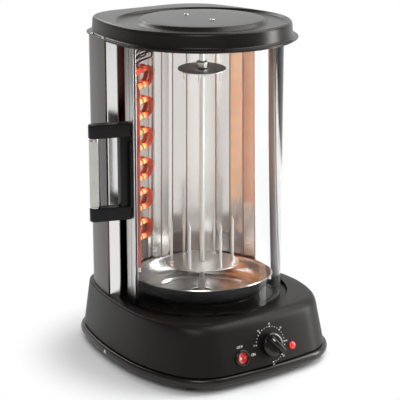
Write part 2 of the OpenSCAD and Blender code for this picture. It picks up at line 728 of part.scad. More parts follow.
// thin unlit hairpin above the passes, its ends fixed in the reflector
wire_r = 1.25;
wire_gap = 8;
wire_from = 14;
wire_to = 40;
module upper_wire() color([0.2, 0.14, 0.12]) {
    low = deck_z + heater_top + 12;
    for (k = [0 : 1]) {
        at_z(low + k * wire_gap) rotate([0, 0, 90 + wire_from + gap_deg])
            rotate_extrude(angle = wire_to - wire_from - gap_deg)
                translate([heater_path_r, 0]) circle(r = wire_r, $fn = 48);
        tube_collar(wire_from, low + k * wire_gap, wire_r + 0.15, 1.6);
        at_z(low + k * wire_gap) rotate([0, 0, 90 + wire_to]) translate([heater_path_r, 0, 0]) {
            sphere(r = wire_r + 0.15, $fn = 48);
            rotate([0, 90, 0]) at_z(0.2)
                cylinder(r = wire_r, h = reflector_r * flat_share - heater_path_r - 0.2, $fn = 48);
        }
    }
    translate([back_point(wire_from, heater_path_r)[0], back_point(wire_from, heater_path_r)[1],
        low + wire_gap / 2]) rotate([0, 0, 90 + wire_from]) rotate([0, 90, 0])
        rotate([0, 0, 180]) rotate_extrude(angle = 180) translate([wire_gap / 2, 0]) circle(r = wire_r, $fn = 48);
}

module side_glass() color([0.85, 0.92, 0.9, 0.35]) {
    at_z(track_floor + 1.2) sector(side_glass_in, side_glass_out, side_glass_from, side_glass_to,
        frame_track_z - track_floor - 2.4);
}

// rubber channels that hold the side glass at its foot and head
seal_lip = 0.8;
module side_glass_seals() color([0.05, 0.05, 0.05]) {
    difference() {
        union() {
            at_z(track_floor) sector(side_glass_in - seal_lip, track_out, side_glass_from - 1, side_glass_to + 1,
                track_depth + 2);
            at_z(frame_z - 2) sector(side_glass_in - seal_lip, frame_track_out, side_glass_from - 1,
                side_glass_to + 1, frame_track_z - frame_z + 2);
        }
        at_z(track_floor + 1.2) sector(side_glass_in, side_glass_out, side_glass_from, side_glass_to,
            frame_track_z - track_floor - 2.4);
    }
}

// ---- top ----
hub_out = 11;
bush_out = 7;
top_journal_r = 3;
top_journal_end = frame_z + 8;
post_places = [-22, 34];
frame_wall = 2.2;
module top_frame() color([0.06, 0.06, 0.06]) {
    difference() {
        union() {
            at_z(frame_z) linear_extrude(frame_plate_t) polygon(lid_outline(housing_out - sheet_t - 0.1));
            at_z(frame_z) linear_extrude(frame_rim_h) polygon(lid_outline(-lid_t - 0.4));
            at_z(frame_z) cylinder(r = hub_out, h = 11);
            for (y = post_places) translate([0, y, frame_z])
                cylinder(r = 5, h = lid_top + crown_rise - lid_t - frame_z);
        }
        // ring-shaped track for the door and the side glass
        at_z(frame_z - 1) ring(track_in, frame_track_out, frame_track_z - frame_z + 1);
        // hollow over the chamber and over the back corners
        at_z(frame_z + frame_plate_t) difference() {
            union() {
                cylinder(r = track_in - frame_wall, h = 20);
                linear_extrude(20) difference() {
                    polygon(lid_outline(-lid_t - 0.4 - frame_wall));
                    circle(r = frame_track_out + frame_wall);
                }
            }
            cylinder(r = hub_out, h = 30);
            for (y = post_places) translate([0, y, 0]) cylinder(r = 5, h = 30);
        }
        at_z(frame_z - 1) cylinder(r = bush_out + 0.05, h = 10.5);
        for (y = post_places) translate([0, y, lid_top - lid_t - 12]) cylinder(r = 1.4, h = 20);
    }
}
module top_bush() color([0.72, 0.55, 0.25]) {
    difference() {
        union() {
            at_z(frame_z - 1.4) cylinder(r = bush_out + 3, h = 1.3);
            at_z(frame_z - 0.2) cylinder(r = bush_out, h = 9.5);
        }
        at_z(frame_z - 2) cylinder(r = top_journal_r + run, h = 20);
    }
}

dish_out = lid_r - 6;
dish_in = dish_out - 30;
crown_rise = 2;       // how far the middle of the lid stands over its edge
module dish_shape(out, drop) {
    rotate_extrude() polygon([[dish_in - out, 3], [dish_in - out, -drop], [dish_in + 4 - out, -dish_depth - drop],
        [dish_out - 3 + out, -dish_depth - drop], [dish_out + out, -drop], [dish_out + out, 3]]);
}
// the lid wall: rolled rim, small fillet, upright wall, rounded shoulder
lid_levels = [[-0.6, 0], [0, 0.35], [0, 0.75], [-0.5, 1]];
function lid_section(out, z) = [lid_outline(out), z];
module lid() color([0.07, 0.07, 0.07]) {
    difference() {
        union() {
        at_z(lid_top - 1) cylinder(r1 = dish_in + 1, r2 = dish_in - crown_rise, h = crown_rise + 1);
        loft(concat(
            [for (l = lid_levels) lid_section(rim_out + l[0], rim_z + l[1] * rim_t)],
            [for (a = [0 : 22.5 : 90]) lid_section(3 - 3 * sin(a), rim_z + rim_t + 3.4 - 3.4 * cos(a))],
            [for (a = [0 : 18 : 90]) lid_section(-1 - 4.5 * (1 - cos(a)), lid_top - 4.5 + 4.5 * sin(a))]));
        }
        at_z(lid_top - lid_t - 1) cylinder(r = dish_in - crown_rise - lid_t, h = crown_rise + 1);
        difference() {
            loft([lid_section(-lid_t, rim_z - 1), lid_section(-lid_t - 1, lid_top - 4.5),
                  lid_section(-5.5, lid_top - lid_t)]);
            at_z(lid_top) dish_shape(lid_t, lid_t);
        }
        at_z(lid_top) dish_shape(0, 0);
        for (y = post_places) translate([0, y, lid_top - 8]) cylinder(r = 1.9, h = 20);
    }
}
module lid_screws() color("silver") {
    for (y = post_places) translate([0, y, lid_top + crown_rise]) {
        difference() {
            rotate_extrude() polygon([[0, 0], [3.4, 0], [3.4, 0.4], [2.6, 1.1], [1.4, 1.5], [0, 1.6]]);
            at_z(1.6) rotate([0, 0, 35]) cube([8, 0.8, 1.4], center = true);
        }
        at_z(-11) cylinder(r = 1.35, h = 11.2);
    }
}
// steel tabs and screws that clamp the rim; they sit square to the side of the lid
rim_places = [50, 90];
rim_seat = 4.2;
module rim_places_at() {
    for (side = [-1, 1]) for (y = rim_places)
        let (r = lid_side_r + rim_seat, a = asin(y / r))
        translate([side * (lid_r - lid_side_r + r * cos(a)), y, rim_z + rim_t])
            rotate([0, 0, side > 0 ? a : 180 - a]) children();
}
module rim_tabs() color("silver") {
    rim_places_at() difference() {
        translate([-1.1, -4.5, 0]) cube([3.4, 9, 0.7]);
        cylinder(r = 1.3, h = 3, center = true);
    }
}
module rim_screws() color([0.85, 0.85, 0.85]) {
    rim_places_at() {
        at_z(0.7) rotate_extrude() polygon([[0, 0], [2.2, 0], [2, 0.6], [1.2, 1.2], [0, 1.4]]);
        cylinder(r = 1.25, h = 1);
    }
}

// ---- spit ----
module motor_shaft() color("silver") {
    at_z(motor_z + 8.3) cylinder(r = motor_shaft_r, h = hub_z + hub_h - 2 - motor_z - 8.3);
}
module drive_hub() color([0.75, 0.75, 0.74]) {
    difference() {
        union() {
            at_z(hub_z) rotate_extrude()
                polygon([[0, 0], [hub_r - 1, 0], [hub_r, 1], [hub_r, hub_h - 1], [hub_r - 1, hub_h], [0, hub_h]]);
            at_z(hub_z) cylinder(r = journal_r, h = deck_z + 2 - hub_z);
            at_z(hub_z) cylinder(r = stub_r, h = stub_top - hub_z);
            translate([-tang / 2, -tang / 2, stub_top - 1]) cube([tang, tang, tang_h + 1]);
        }
        at_z(hub_z - 1) cylinder(r = motor_shaft_r + 0.02, h = hub_h - 1);
    }
}
// the rod: a square socket at its foot, a thinner journal at its top
socket_r = 4.8;
socket_h = 14;
module spit_rod() color([0.8, 0.8, 0.8]) {
    difference() {
        union() {
            at_z(stub_top + 0.1) rotate_extrude() polygon([[0, 0], [socket_r, 0], [socket_r, socket_h - 1.5],
                [spit_r, socket_h], [0, socket_h]]);
            at_z(stub_top + 1) cylinder(r = spit_r, h = frame_z - 6 - stub_top - 1);
            at_z(frame_z - 7) cylinder(r = top_journal_r, h = top_journal_end - frame_z + 7);
        }
        translate([-tang / 2 - 0.15, -tang / 2 - 0.15, stub_top - 1]) cube([tang + 0.3, tang + 0.3, tang_h + 1.6]);
    }
}
prong_r = 2;
prong_tip = 9;
plate_sheet = 1.5;
sleeve_r = 8;
function prong_at(i) = (plate_r - 9) * [cos((i + 0.5) * 360 / prong_count), sin((i + 0.5) * 360 / prong_count)];
module prong_plate() color([0.78, 0.78, 0.78]) {
    z = deck_z + plate_z;
    difference() {
        union() {
            at_z(z) cylinder(r = plate_r, h = plate_sheet);
            at_z(z - 10) cylinder(r = sleeve_r, h = 10.5);
            for (i = [0 : prong_count - 1]) translate([prong_at(i)[0], prong_at(i)[1], z]) rotate_extrude($fn = 24)
                polygon([[0, 0], [prong_r, 0], [prong_r, prong_len - prong_tip], [0.3, prong_len], [0, prong_len]]);
            // clamping screw in the sleeve
            at_z(z - 5) rotate([0, 90, 0]) cylinder(r = 2, h = sleeve_r + 5);
            at_z(z - 5) rotate([0, 90, 0]) at_z(sleeve_r + 3) cylinder(r = 4, h = 3);
        }
        at_z(z - 11) cylinder(r = spit_r + 0.02, h = 20);
    }
}
module clamp_plate() color([0.78, 0.78, 0.78]) {
    z = deck_z + clamp_z;
    difference() {
        union() {
            at_z(z) cylinder(r = clamp_r, h = plate_sheet);
            at_z(z - 8) cylinder(r = sleeve_r - 1, h = 8.5);
            for (i = [0 : 3]) rotate([0, 0, 90 * i + 45]) translate([clamp_r - 8, 0, z - 16]) rotate_extrude($fn = 24)
                polygon([[0, 0], [0.3, 0], [1.5, 6], [1.5, 16.5], [0, 16.5]]);
        }
        at_z(z - 9) cylinder(r = spit_r + 0.02, h = 20);
    }
}
nut_r = 7.5;
nut_h = 9;
module thumb_nut() color([0.85, 0.82, 0.76]) {
    at_z(deck_z + clamp_z + plate_sheet) difference() {
        rotate_extrude() polygon([[0, 0], [nut_r - 0.8, 0], [nut_r, 0.8], [nut_r, nut_h - 0.8], [nut_r - 0.8, nut_h],
            [0, nut_h]]);
        at_z(-1) cylinder(r = spit_r + 0.02, h = 20);
        for (i = [0 : 11]) rotate([0, 0, 30 * i]) translate([nut_r + 0.9, 0, -1]) cylinder(r = 1.4, h = 20, $fn = 16);
    }
}

// ---- drip bowl ----
// outer line of the bowl from the hole in its floor to the rim
bowl_hole_r = 14;
collar_h = 2.6;
bowl_flare = [for (a = [0 : 10 : 80])
    [bowl_foot_r + 1 + (bowl_r - 2.4 - bowl_foot_r - 1) * sin(a), 3.6 + (bowl_h - 6.4) * (1 - cos(a)) / (1 - cos(80))]];
bowl_line = concat(
    [[bowl_hole_r, collar_h], [bowl_hole_r + 0.4, 0.5], [bowl_hole_r + 1.5, 0], [bowl_foot_r - 2, 0],
     [bowl_foot_r - 0.6, 0.6], [bowl_foot_r, 2]],
    bowl_flare,
    [[bowl_r - 1.2, bowl_h - 1.6], [bowl_r, bowl_h - 1]]);
// the same line moved to its left by t, so a sheet of even thickness lies between the two
function unit(v) = v / norm(v);
function side_step(line, t) = [for (i = [0 : len(line) - 1])
    let (d = unit(unit(line[min(i + 1, len(line) - 1)] - line[max(i, 0)] + (i == len(line) - 1 ? line[i] - line[i - 1] : [0, 0]))
              + unit(i == 0 ? line[1] - line[0] : line[i] - line[i - 1])))
    line[i] + t * [-d[1], d[0]]];
function reversed(list) = [for (i = [len(list) - 1 : -1 : 0]) list[i]];
module drip_bowl() color([0.5, 0.5, 0.5]) {
    at_z(deck_z + clear) rotate_extrude() polygon(concat(bowl_line, reversed(side_step(bowl_line, bowl_t))));
}

// ---- door ----
edge_deg = edge_w / glass_r * 180 / PI;
lap_deg = 1;
edge_z = deck_z + shoe_h;
edge_h = chamber_h - shoe_h - 1;
function edge_from(i) = i == 0 ? door_left : door_right - edge_deg;
module door_glass() color([0.8, 0.9, 0.9, 0.3]) {
    at_z(track_floor + 1.2) sector(glass_in, glass_r, door_left + lap_deg, door_right - lap_deg,
        frame_track_z - track_floor - 2.4);
}
module door_edge(i) {
    groove = edge_from(i) + (i == 0 ? 0.6 : 0.4) * edge_deg;
    difference() {
        at_z(edge_z) sector(edge_in, edge_out, edge_from(i), edge_from(i) + edge_deg, edge_h);
        at_z(edge_z - 1) sector(glass_in, glass_r, door_left + lap_deg, door_right - lap_deg, edge_h + 2);
        at_z(edge_z - 1) sector(edge_out - edge_groove, edge_out + 1, groove - 0.4, groove + 0.4, edge_h + 2);
    }
}
module door_edge_left() color([0.8, 0.8, 0.8]) door_edge(0);
module door_edge_right() color([0.8, 0.8, 0.8]) door_edge(1);
module door_shoes() color([0.04, 0.04, 0.04]) {
    difference() {
        for (i = [0 : 1]) {
            at_z(track_floor + 0.4) sector(edge_in, edge_out, edge_from(i), edge_from(i) + edge_deg,
                shoe_h + track_depth - 0.4);
            at_z(edge_z + edge_h) sector(edge_in, edge_out, edge_from(i), edge_from(i) + edge_deg,
                frame_track_z - 0.5 - edge_z - edge_h);
        }
        at_z(track_floor + 1.2) sector(glass_in, glass_r, door_left + lap_deg, door_right - lap_deg,
            frame_track_z - track_floor - 2.4);
    }
}

// handle: two arms and a back web in one moulding, with a bright tube between the arms
handle_angle = door_left + edge_deg * 0.5;
web_d = 14;
web_w = 11;
module on_handle() {
    at_z(deck_z + handle_z) rotate([0, 0, handle_angle - 90]) children();
}
module grip_place() {
    translate([edge_out, 0, 0]) rotate([0, 0, -handle_lean]) translate([handle_reach, 0, 0]) children();
}
module handle_bracket() color([0.05, 0.05, 0.05]) {
    on_handle() difference() {
        union() {
            for (s = [-1, 1]) at_z(s * handle_span / 2 - arm_h / 2) {
                translate([edge_out, 0, 0]) rotate([0, 0, -handle_lean]) {
                    translate([-2, -arm_w / 2, 0]) cube([handle_reach + 2, arm_w, arm_h]);
                    translate([handle_reach, 0, 0]) cylinder(r = arm_w / 2, h = arm_h);
                }
            }
            translate([edge_out - 1, -web_w / 2 - 2, -handle_span / 2]) cube([web_d + 1, web_w, handle_span]);
            translate([edge_out - 1, web_w / 2 - 3, -handle_span / 2]) cube([4, 7, handle_span - arm_h]);
        }
        translate([0, 0, -handle_span]) cylinder(r = edge_out, h = 2 * handle_span);
        grip_place() cylinder(r = grip_r + 0.05, h = handle_span - 1, center = true);
        for (s = [-1, 1]) at_z(s * handle_span / 2) grip_place() at_z(s > 0 ? -1 : -arm_h / 2 - 1)
            cylinder(r = 1.6, h = arm_h / 2 + 2);
        for (s = [-1, 1]) at_z(s * handle_span / 2) grip_place() at_z(s > 0 ? arm_h / 2 - 2 : -arm_h / 2 - 1)
            cylinder(r = 3.6, h = 3);
    }
}
module grip_tube() color([0.85, 0.85, 0.85]) {
    on_handle() grip_place() difference() {
        cylinder(r = grip_r, h = handle_span - 1.1, center = true);
        cylinder(r = grip_r - 1.2, h = handle_span - 9, center = true);
        cylinder(r = 1.5, h = handle_span + 2, center = true);
    }
}
module handle_screws() color("silver") {
    on_handle() for (s = [-1, 1]) at_z(s * (handle_span / 2 + arm_h / 2 - 2)) grip_place() {
        at_z(s > 0 ? 0 : -1.6) cylinder(r = 3.4, h = 1.6);
        at_z(s > 0 ? -arm_h / 2 - 1 : 0) cylinder(r = 1.45, h = arm_h / 2 + 1);
    }
}

base_shell();
base_plate();
rubber_feet();
base_screws();
cord_gland();
drive_motor();
motor_bracket();
motor_screws();
shaft_bush();
timer_unit();
switch_body();
indicator_lamp();
rear_housing();
left_pillar();
right_pillar();
reflector();
wire_channel();
heater();
heater_leads();
heater_clips();
upper_wire();
side_glass();
side_glass_seals();
top_frame();
top_bush();
lid();
lid_screws();
rim_tabs();
rim_screws();
motor_shaft();
drive_hub();
spit_rod();
prong_plate();
clamp_plate();
thumb_nut();
drip_bowl();
door_glass();
door_edge_left();
door_edge_right();
door_shoes();
handle_bracket();
grip_tube();
handle_screws();
timer_knob();
timer_spindle();
switch_rocker();
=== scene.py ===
"""Dresses the CAD frame of an upright skewer grill: smooth skins, printed dial, glass, hot tubes and finishes.

Shapes are worked out in millimetres and scaled to metres when a mesh is finished. "Front angle" is measured about
the spit axis from the front (-Y) towards +X.
"""

import math
from math import cos, radians, sin

import bmesh
import bpy
from mathutils import Matrix, Vector


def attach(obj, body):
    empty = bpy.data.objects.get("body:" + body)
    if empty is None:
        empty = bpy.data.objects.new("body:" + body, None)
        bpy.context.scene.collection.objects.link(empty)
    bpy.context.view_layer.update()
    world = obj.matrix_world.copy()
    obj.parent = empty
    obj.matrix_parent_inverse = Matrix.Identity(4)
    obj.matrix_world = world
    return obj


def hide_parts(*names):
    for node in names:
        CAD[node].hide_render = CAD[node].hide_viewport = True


bl_info = {
    "name": "Skewer grill",
    "version": (1, 0, 0),
    "blender": (4, 5, 0),
    "location": "3D View > Sidebar > Grill",
    "description": "Builds the visible pieces of an upright electric skewer grill round its CAD frame",
    "category": "Add Mesh",
}

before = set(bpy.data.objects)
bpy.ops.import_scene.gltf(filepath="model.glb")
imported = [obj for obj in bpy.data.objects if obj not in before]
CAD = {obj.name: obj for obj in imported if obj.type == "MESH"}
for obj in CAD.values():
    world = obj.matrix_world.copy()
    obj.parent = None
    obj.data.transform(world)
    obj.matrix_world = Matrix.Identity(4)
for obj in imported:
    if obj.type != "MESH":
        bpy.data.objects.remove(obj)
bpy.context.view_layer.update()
MM = 0.001
UP = Vector((0, 0, 1))
FLAT_DEG = 12  # angle that each flat of the reflector takes up
HEATER_ROWS = 12
TRACK_DEPTH = 4.0  # of the door's track in the deck
TRACK_PLAY = 0.7  # between the track's inner wall and the door's inner strips


# ---------------------------------------------------------------- sizes and colours

def length(name, size_mm, text):
    """A property for a length, with its default in millimetres."""
    return bpy.props.FloatProperty(name=name, description=text, default=size_mm * MM, min=0, unit="LENGTH")


def angle(name, degrees, text):
    """A property for an angle, with its default in degrees."""
    return bpy.props.FloatProperty(name=name, description=text, default=radians(degrees), unit="ROTATION")


def colour(name, rgb, text):
    return bpy.props.FloatVectorProperty(name=name, description=text, default=rgb, size=3, min=0, max=1,
                                         subtype="COLOR")


class GRILL_PG_sizes(bpy.types.PropertyGroup):
    """Sizes of the pieces that are rebuilt over the CAD frame."""

    glass_r: length("Glass radius", 106.5, "Outer radius of the curved door glass")
    glass_t: length("Glass thickness", 3, "Thickness of the door glass and the side glass")
    deck_z: length("Deck height", 84, "Height of the deck above the floor")
    chamber_h: length("Chamber height", 343, "Clear height between the deck and the top frame")
    door_left: angle("Door left edge", -103, "Front angle of the left edge of the closed door")
    door_right: angle("Door right edge", 79, "Front angle of the right edge of the closed door")
    side_from: angle("Side glass start", 72, "Front angle where the fixed side glass starts")
    side_to: angle("Side glass end", 106, "Front angle where the fixed side glass ends")
    strip_w: length("Strip width", 23, "Width of each metal strip on the door")
    strip_t: length("Strip wall", 1.4, "Wall of the metal strips on the door")
    shoe_h: length("Shoe height", 8, "Height of the shoes under the strips")
    handle_z: length("Handle height", 179, "Height of the middle of the handle above the deck")
    handle_span: length("Handle span", 110, "Distance between the two handle arms")
    handle_reach: length("Handle reach", 46, "Reach from the strip to the middle of the grip tube")
    handle_lean: angle("Handle lean", 12, "How far the arms lean back")
    arm_h: length("Arm height", 18, "Height of each handle arm")
    arm_w: length("Arm width", 15, "Width of each handle arm along the door")
    grip_r: length("Grip radius", 7, "Radius of the grip tube")
    base_ledge: length("Base ledge", 20, "How far the base stands out past the lid wall")
    base_front: length("Base front", 151, "From the spit axis to the front of the base")
    base_rear: length("Base rear", 160, "From the spit axis to the back of the base")
    corner_r: length("Front corner radius", 65, "Radius of the front corners of the base")
    rear_corner_r: length("Rear corner radius", 65, "Radius of the back corners of the base")
    side_draft: length("Side draft", 8.5, "How far the sides of the base draw in")
    front_lean: length("Front lean", 9.5, "How much further the front of the base leans back")
    front_round: length("Front rounding", 12, "Soft rounding of the top front edge")
    side_round: length("Side rounding", 2.5, "Rounding of the top side edges")
    lip_h: length("Lip height", 11.5, "Height of the lip round the foot of the base")
    lip_out: length("Lip reach", 5, "How far the lip stands out")
    seam_gap: length("Seam gap", 1.2, "Shadow gap over the lip")
    foot_h: length("Foot height", 9, "Height of the feet")
    lid_gap: length("Lid gap", 11.5, "From the door glass to the lid wall")
    lid_side_r: length("Lid side radius", 340, "Radius of the sides of the lid")
    lid_corner_r: length("Lid corner radius", 62, "Radius of the back corners of the lid")
    lid_side_a: angle("Lid side turn", 17, "Turn of the sides of the lid")
    lid_h: length("Lid height", 22, "Height of the lid")
    rim_out: length("Rim reach", 7, "How far the lid rim flares out")
    rim_t: length("Rim thickness", 1.9, "Thickness of the flared rim")
    dish_depth: length("Dish depth", 3.5, "Depth of the ring-shaped dish in the lid")
    housing_out: length("Housing reach", 4.5, "How far the steel housing stands out past the lid wall")
    housing_from: length("Housing start", 50, "Distance behind the spit axis where the housing starts")
    pillar_w: length("Pillar face", 15, "Width of the bright face of each pillar")
    knob_x: length("Knob place", 4, "Sideways place of the timer knob")
    knob_z: length("Knob height", 46.5, "Height of the timer knob")
    knob_r: length("Knob radius", 16, "Radius of the timer knob")
    knob_h: length("Knob depth", 17, "Height of the knob off the panel")
    switch_x: length("Switch place", 43, "How far the power switch sits left of the middle")
    switch_z: length("Switch height", 38.5, "Height of the power switch")
    lamp_x: length("Lamp place", 39, "Sideways place of the lamp")
    lamp_z: length("Lamp height", 37.5, "Height of the lamp")
    bowl_r: length("Bowl radius", 93.4, "Outer radius of the drip bowl")
    bowl_h: length("Bowl height", 29, "Height of the drip bowl")
    bowl_foot_r: length("Bowl foot radius", 66, "Radius of the foot of the drip bowl")
    bowl_t: length("Bowl sheet", 1.2, "Sheet thickness of the drip bowl")
    rod_r: length("Rod radius", 3.5, "Radius of the spit rod")
    plate_z: length("Prong plate height", 42, "Height of the prong plate above the deck")
    plate_r: length("Prong plate radius", 50, "Radius of the prong plate")
    prong_len: length("Prong length", 62, "Length of the upright prongs")
    clamp_z: length("Clamp plate height", 296, "Height of the clamp plate above the deck")
    clamp_r: length("Clamp plate radius", 32, "Radius of the clamp plate")
    tube_r: length("Heater tube radius", 3.4, "Radius of the heater tube")
    tube_pitch: length("Heater pitch", 20, "Height between the passes of the heater")
    tube_top: length("Heater top", 284, "Height of the top pass above the deck")
    tube_from: angle("Heater start", 18, "Angle left of the back centre where the passes start")
    tube_to: angle("Heater end", 64, "Angle left of the back centre where the passes end")


class GRILL_PG_finishes(bpy.types.PropertyGroup):
    """Colours of the finishes."""

    moulding: colour("Base moulding", (0.0075, 0.0068, 0.0064), "Satin black of the base")
    enamel: colour("Lid enamel", (0.0085, 0.0080, 0.0077), "Black enamel of the lid")
    handle: colour("Handle", (0.006, 0.006, 0.0065), "Black of the handle and the knob")
    housing: colour("Housing sheet", (0.105, 0.099, 0.095), "Dark brushed sheet of the housing")
    steel: colour("Brushed steel", (0.58, 0.57, 0.56), "Brushed steel of the door strips")
    bright: colour("Bright steel", (0.72, 0.72, 0.71), "Bright steel of the spit and pillars")
    sheet: colour("Reflector", (0.90, 0.86, 0.83), "Satin reflector sheet")
    glow_low: colour("Glow edge", (0.9, 0.075, 0.025), "Colour of the cooler parts of the hot tube")
    glow_high: colour("Glow core", (1.0, 0.38, 0.11), "Colour of the hottest parts of the tube")
    print_ink: colour("Print", (0.88, 0.88, 0.88), "Printed marks on the panel")
    red: colour("Red lens", (0.75, 0.015, 0.012), "Rocker and lamp")


class Millimetres:
    """Reads the sizes in millimetres, and the angles in degrees."""

    def __init__(self, group):
        self._group = group
        self._angles = {p.identifier for p in group.bl_rna.properties if getattr(p, "unit", "") == "ROTATION"}

    def __getattr__(self, name):
        value = getattr(self._group, name)
        return math.degrees(value) if name in self._angles else value / MM


def sizes():
    return Millimetres(bpy.context.scene.grill_sizes)


# ---------------------------------------------------------------- finishes

class Term:
    """A socket that takes part in Python arithmetic: each operation adds a Math node."""

    def __init__(self, finish, socket):
        self.finish, self.socket = finish, socket

    def math(self, operation, other=None):
        """A Math node on this term, or on this and another."""
        values = {0: self} if other is None else {0: self, 1: other}
        return self.finish.add("ShaderNodeMath", {"operation": operation}, values)

    def __add__(self, other):
        return self.math("ADD", other)

    def __sub__(self, other):
        return self.math("SUBTRACT", other)

    def __rsub__(self, other):
        return self.finish.add("ShaderNodeMath", {"operation": "SUBTRACT"}, {0: other, 1: self})

    def __mul__(self, other):
        return self.math("MULTIPLY", other)

    def above(self, edge, soft):
        """0 below the edge and 1 above it, with a soft step."""
        return self.finish.add("ShaderNodeMapRange", {"interpolation_type": "SMOOTHSTEP"},
                               {0: self, 1: edge - soft, 2: edge + soft})

    __radd__ = __add__
    __rmul__ = __mul__


class Nodes:
    """Adds nodes to a shader tree."""

    def __init__(self, tree):
        self.tree = tree

    def add(self, kind, settings=None, sockets=None, out=0):
        """Adds a node, gives it its settings and inputs, and returns one of its outputs."""
        node = self.tree.nodes.new(kind)
        for key, value in (settings or {}).items():
            if key == "stops":
                ramp = node.color_ramp
                while len(ramp.elements) < len(value):
                    ramp.elements.new(0.5)
                for stop, (place, rgb) in zip(ramp.elements, value):
                    stop.position, stop.color = place, (*rgb, 1)
            else:
                setattr(node, key, value)
        for key, value in (sockets or {}).items():
            self.link(node.inputs[key], value)
        return Term(self, node.outputs[out])

    def link(self, socket, value):
        """Joins an input to a term, or gives it a constant."""
        if isinstance(value, (Term, bpy.types.NodeSocket)):
            self.tree.links.new(getattr(value, "socket", value), socket)
        elif hasattr(value, "__len__") and len(value) == 3 and socket.type == "RGBA":
            socket.default_value = (*value, 1)
        else:
            socket.default_value = value

    def mix(self, mask, a, b):
        return self.add("ShaderNodeMix", {"data_type": "RGBA"}, {0: mask, 6: a, 7: b}, out=2)

    def looked_at(self):
        """1 where the camera, a reflection or the view through glass meets the surface."""
        camera, mirror, through = (self.add("ShaderNodeLightPath", out=f"Is {ray} Ray")
                                   for ray in ("Camera", "Glossy", "Transmission"))
        return camera.math("MAXIMUM", mirror).math("MAXIMUM", through)


class Finish(Nodes):
    """A material on a Principled shader whose patterns read Object coordinates."""

    def __init__(self, name, **constants):
        self.material = bpy.data.materials.new(name)
        self.material.use_nodes = True
        super().__init__(self.material.node_tree)
        self.shader = self.tree.nodes["Principled BSDF"]
        for socket, value in constants.items():
            self.shader.inputs[socket.replace("_", " ")].default_value = value

    def feed(self, name, value):
        self.link(self.shader.inputs[name], value)

    def place(self, stretch=None):
        """Object coordinates, stretched so that a pattern can run along an axis."""
        where = self.add("ShaderNodeTexCoord", out=3)
        return self.add("ShaderNodeMapping", None, {0: where, 3: stretch}) if stretch else where

    def noise(self, scale, detail=2, stretch=None, roughness=0.5):
        return self.add("ShaderNodeTexNoise", None,
                        {"Vector": self.place(stretch), "Scale": scale, "Detail": detail, "Roughness": roughness})

    def along(self, axis):
        """One of the Object coordinates: 0 for X, 1 for Y, 2 for Z."""
        return self.add("ShaderNodeSeparateXYZ", None, {0: self.place()}, out=axis)

    def tones(self, mask, rgb, dark, light):
        """Feeds the base colour with something between a darker and a lighter tone of one colour."""
        self.feed("Base Color", self.mix(mask, shade(rgb, dark), shade(rgb, light)))

    def bump(self, relief, strength, depth_mm):
        self.feed("Normal", self.add("ShaderNodeBump", None,
                                     {"Strength": strength, "Distance": depth_mm * MM, "Height": relief}))


def shade(rgb, factor):
    """A lighter or darker tone of a colour."""
    return tuple(min(1.0, c * factor) for c in rgb)


WARM_SHEEN = (1, 0.93, 0.89, 1)


def moulded(name, rgb, roughness, grain=1500, relief=0.05, ior=1.31):
    """Spark-eroded plastic: a fine grain in the relief, broad handling marks in the gloss."""
    f = Finish(name, IOR=ior, Specular_Tint=WARM_SHEEN)
    fine, broad = f.noise(grain, 3, roughness=0.6), f.noise(9, 4)
    f.tones(broad * 0.6 + fine * 0.4, rgb, 0.8, 1.25)
    f.feed("Roughness", broad * 0.14 + fine * 0.05 + (roughness - 0.1))
    f.bump(fine, 0.5, relief)
    return f


def enamelled(name, rgb, roughness):
    """Baked enamel: a slight orange peel and a few dull patches."""
    f = Finish(name, IOR=1.34, Specular_Tint=WARM_SHEEN)
    peel, dull = f.noise(420, 2), f.noise(12, 5)
    f.tones(dull, rgb, 0.85, 1.2)
    f.feed("Roughness", dull * 0.12 + (roughness - 0.06))
    f.bump(peel, 0.25, 0.04)
    return f


def brushed(name, rgb, roughness, stretch=(900, 900, 6), tint=0.12):
    """Brushed metal: long scratches along one axis and soft cloudy staining."""
    f = Finish(name, Metallic=1.0)
    lines, cloud = f.noise(1.0, 3, stretch), f.noise(7, 3)
    f.tones(lines * 0.7 + cloud * 0.3, rgb, 1 - tint, 1 + tint)
    f.feed("Roughness", lines * 0.16 + cloud * 0.08 + (roughness - 0.1))
    f.bump(lines, 0.12, 0.02)
    return f


def plated(name, rgb, roughness, metallic=1.0):
    """Small turned or pressed metal pieces: fine random marks."""
    f = Finish(name, Metallic=metallic)
    marks, cloud = f.noise(900, 3), f.noise(60, 2)
    f.tones(cloud, rgb, 0.85, 1.1)
    f.feed("Roughness", marks * 0.15 + (roughness - 0.07))
    f.bump(marks, 0.15, 0.02)
    return f


def reflector_finish(name, rgb):
    """Bright sheet pressed into flats. Each crease is painted a dark reddish brown as painted shade, and each flat is
    painted its own lighter or darker tone as a painted reflection.
    """
    f = Finish(name, Metallic=1.0)
    waves, roll, cloud = f.noise(16, 2), f.noise(1.0, 2, (700, 700, 5)), f.noise(5, 3)
    flats = f.along(0).math("ARCTAN2", f.along(1)) * (1 / radians(FLAT_DEG))
    # painted shade: a mask for a dark reddish-brown line along each crease between the flats; it also roughens the
    # crease
    crease = 1 - flats.math("PINGPONG", 0.5).above(0.045, 0.025)
    # painted reflection: each flat gets a random tone that stands for the light it catches; the same value also varies
    # its gloss
    flat_light_and_gloss = f.add("ShaderNodeTexWhiteNoise", {"noise_dimensions": "1D"}, {"W": flats.math("FLOOR")})
    sheet = f.mix(flat_light_and_gloss * 0.7 + cloud * 0.3, shade(rgb, 0.72), shade(rgb, 1.06))
    # the crease colour here is painted shade, and the tones of the flats in sheet are painted reflection
    f.feed("Base Color", f.mix(crease * 0.8, sheet, (0.30, 0.11, 0.08)))
    f.feed("Roughness", roll * 0.08 + cloud * 0.05 + flat_light_and_gloss * 0.1 + crease * 0.2 + 0.07)
    f.bump(waves * 0.9 + roll * 0.1, 0.2, 0.1)
    return f


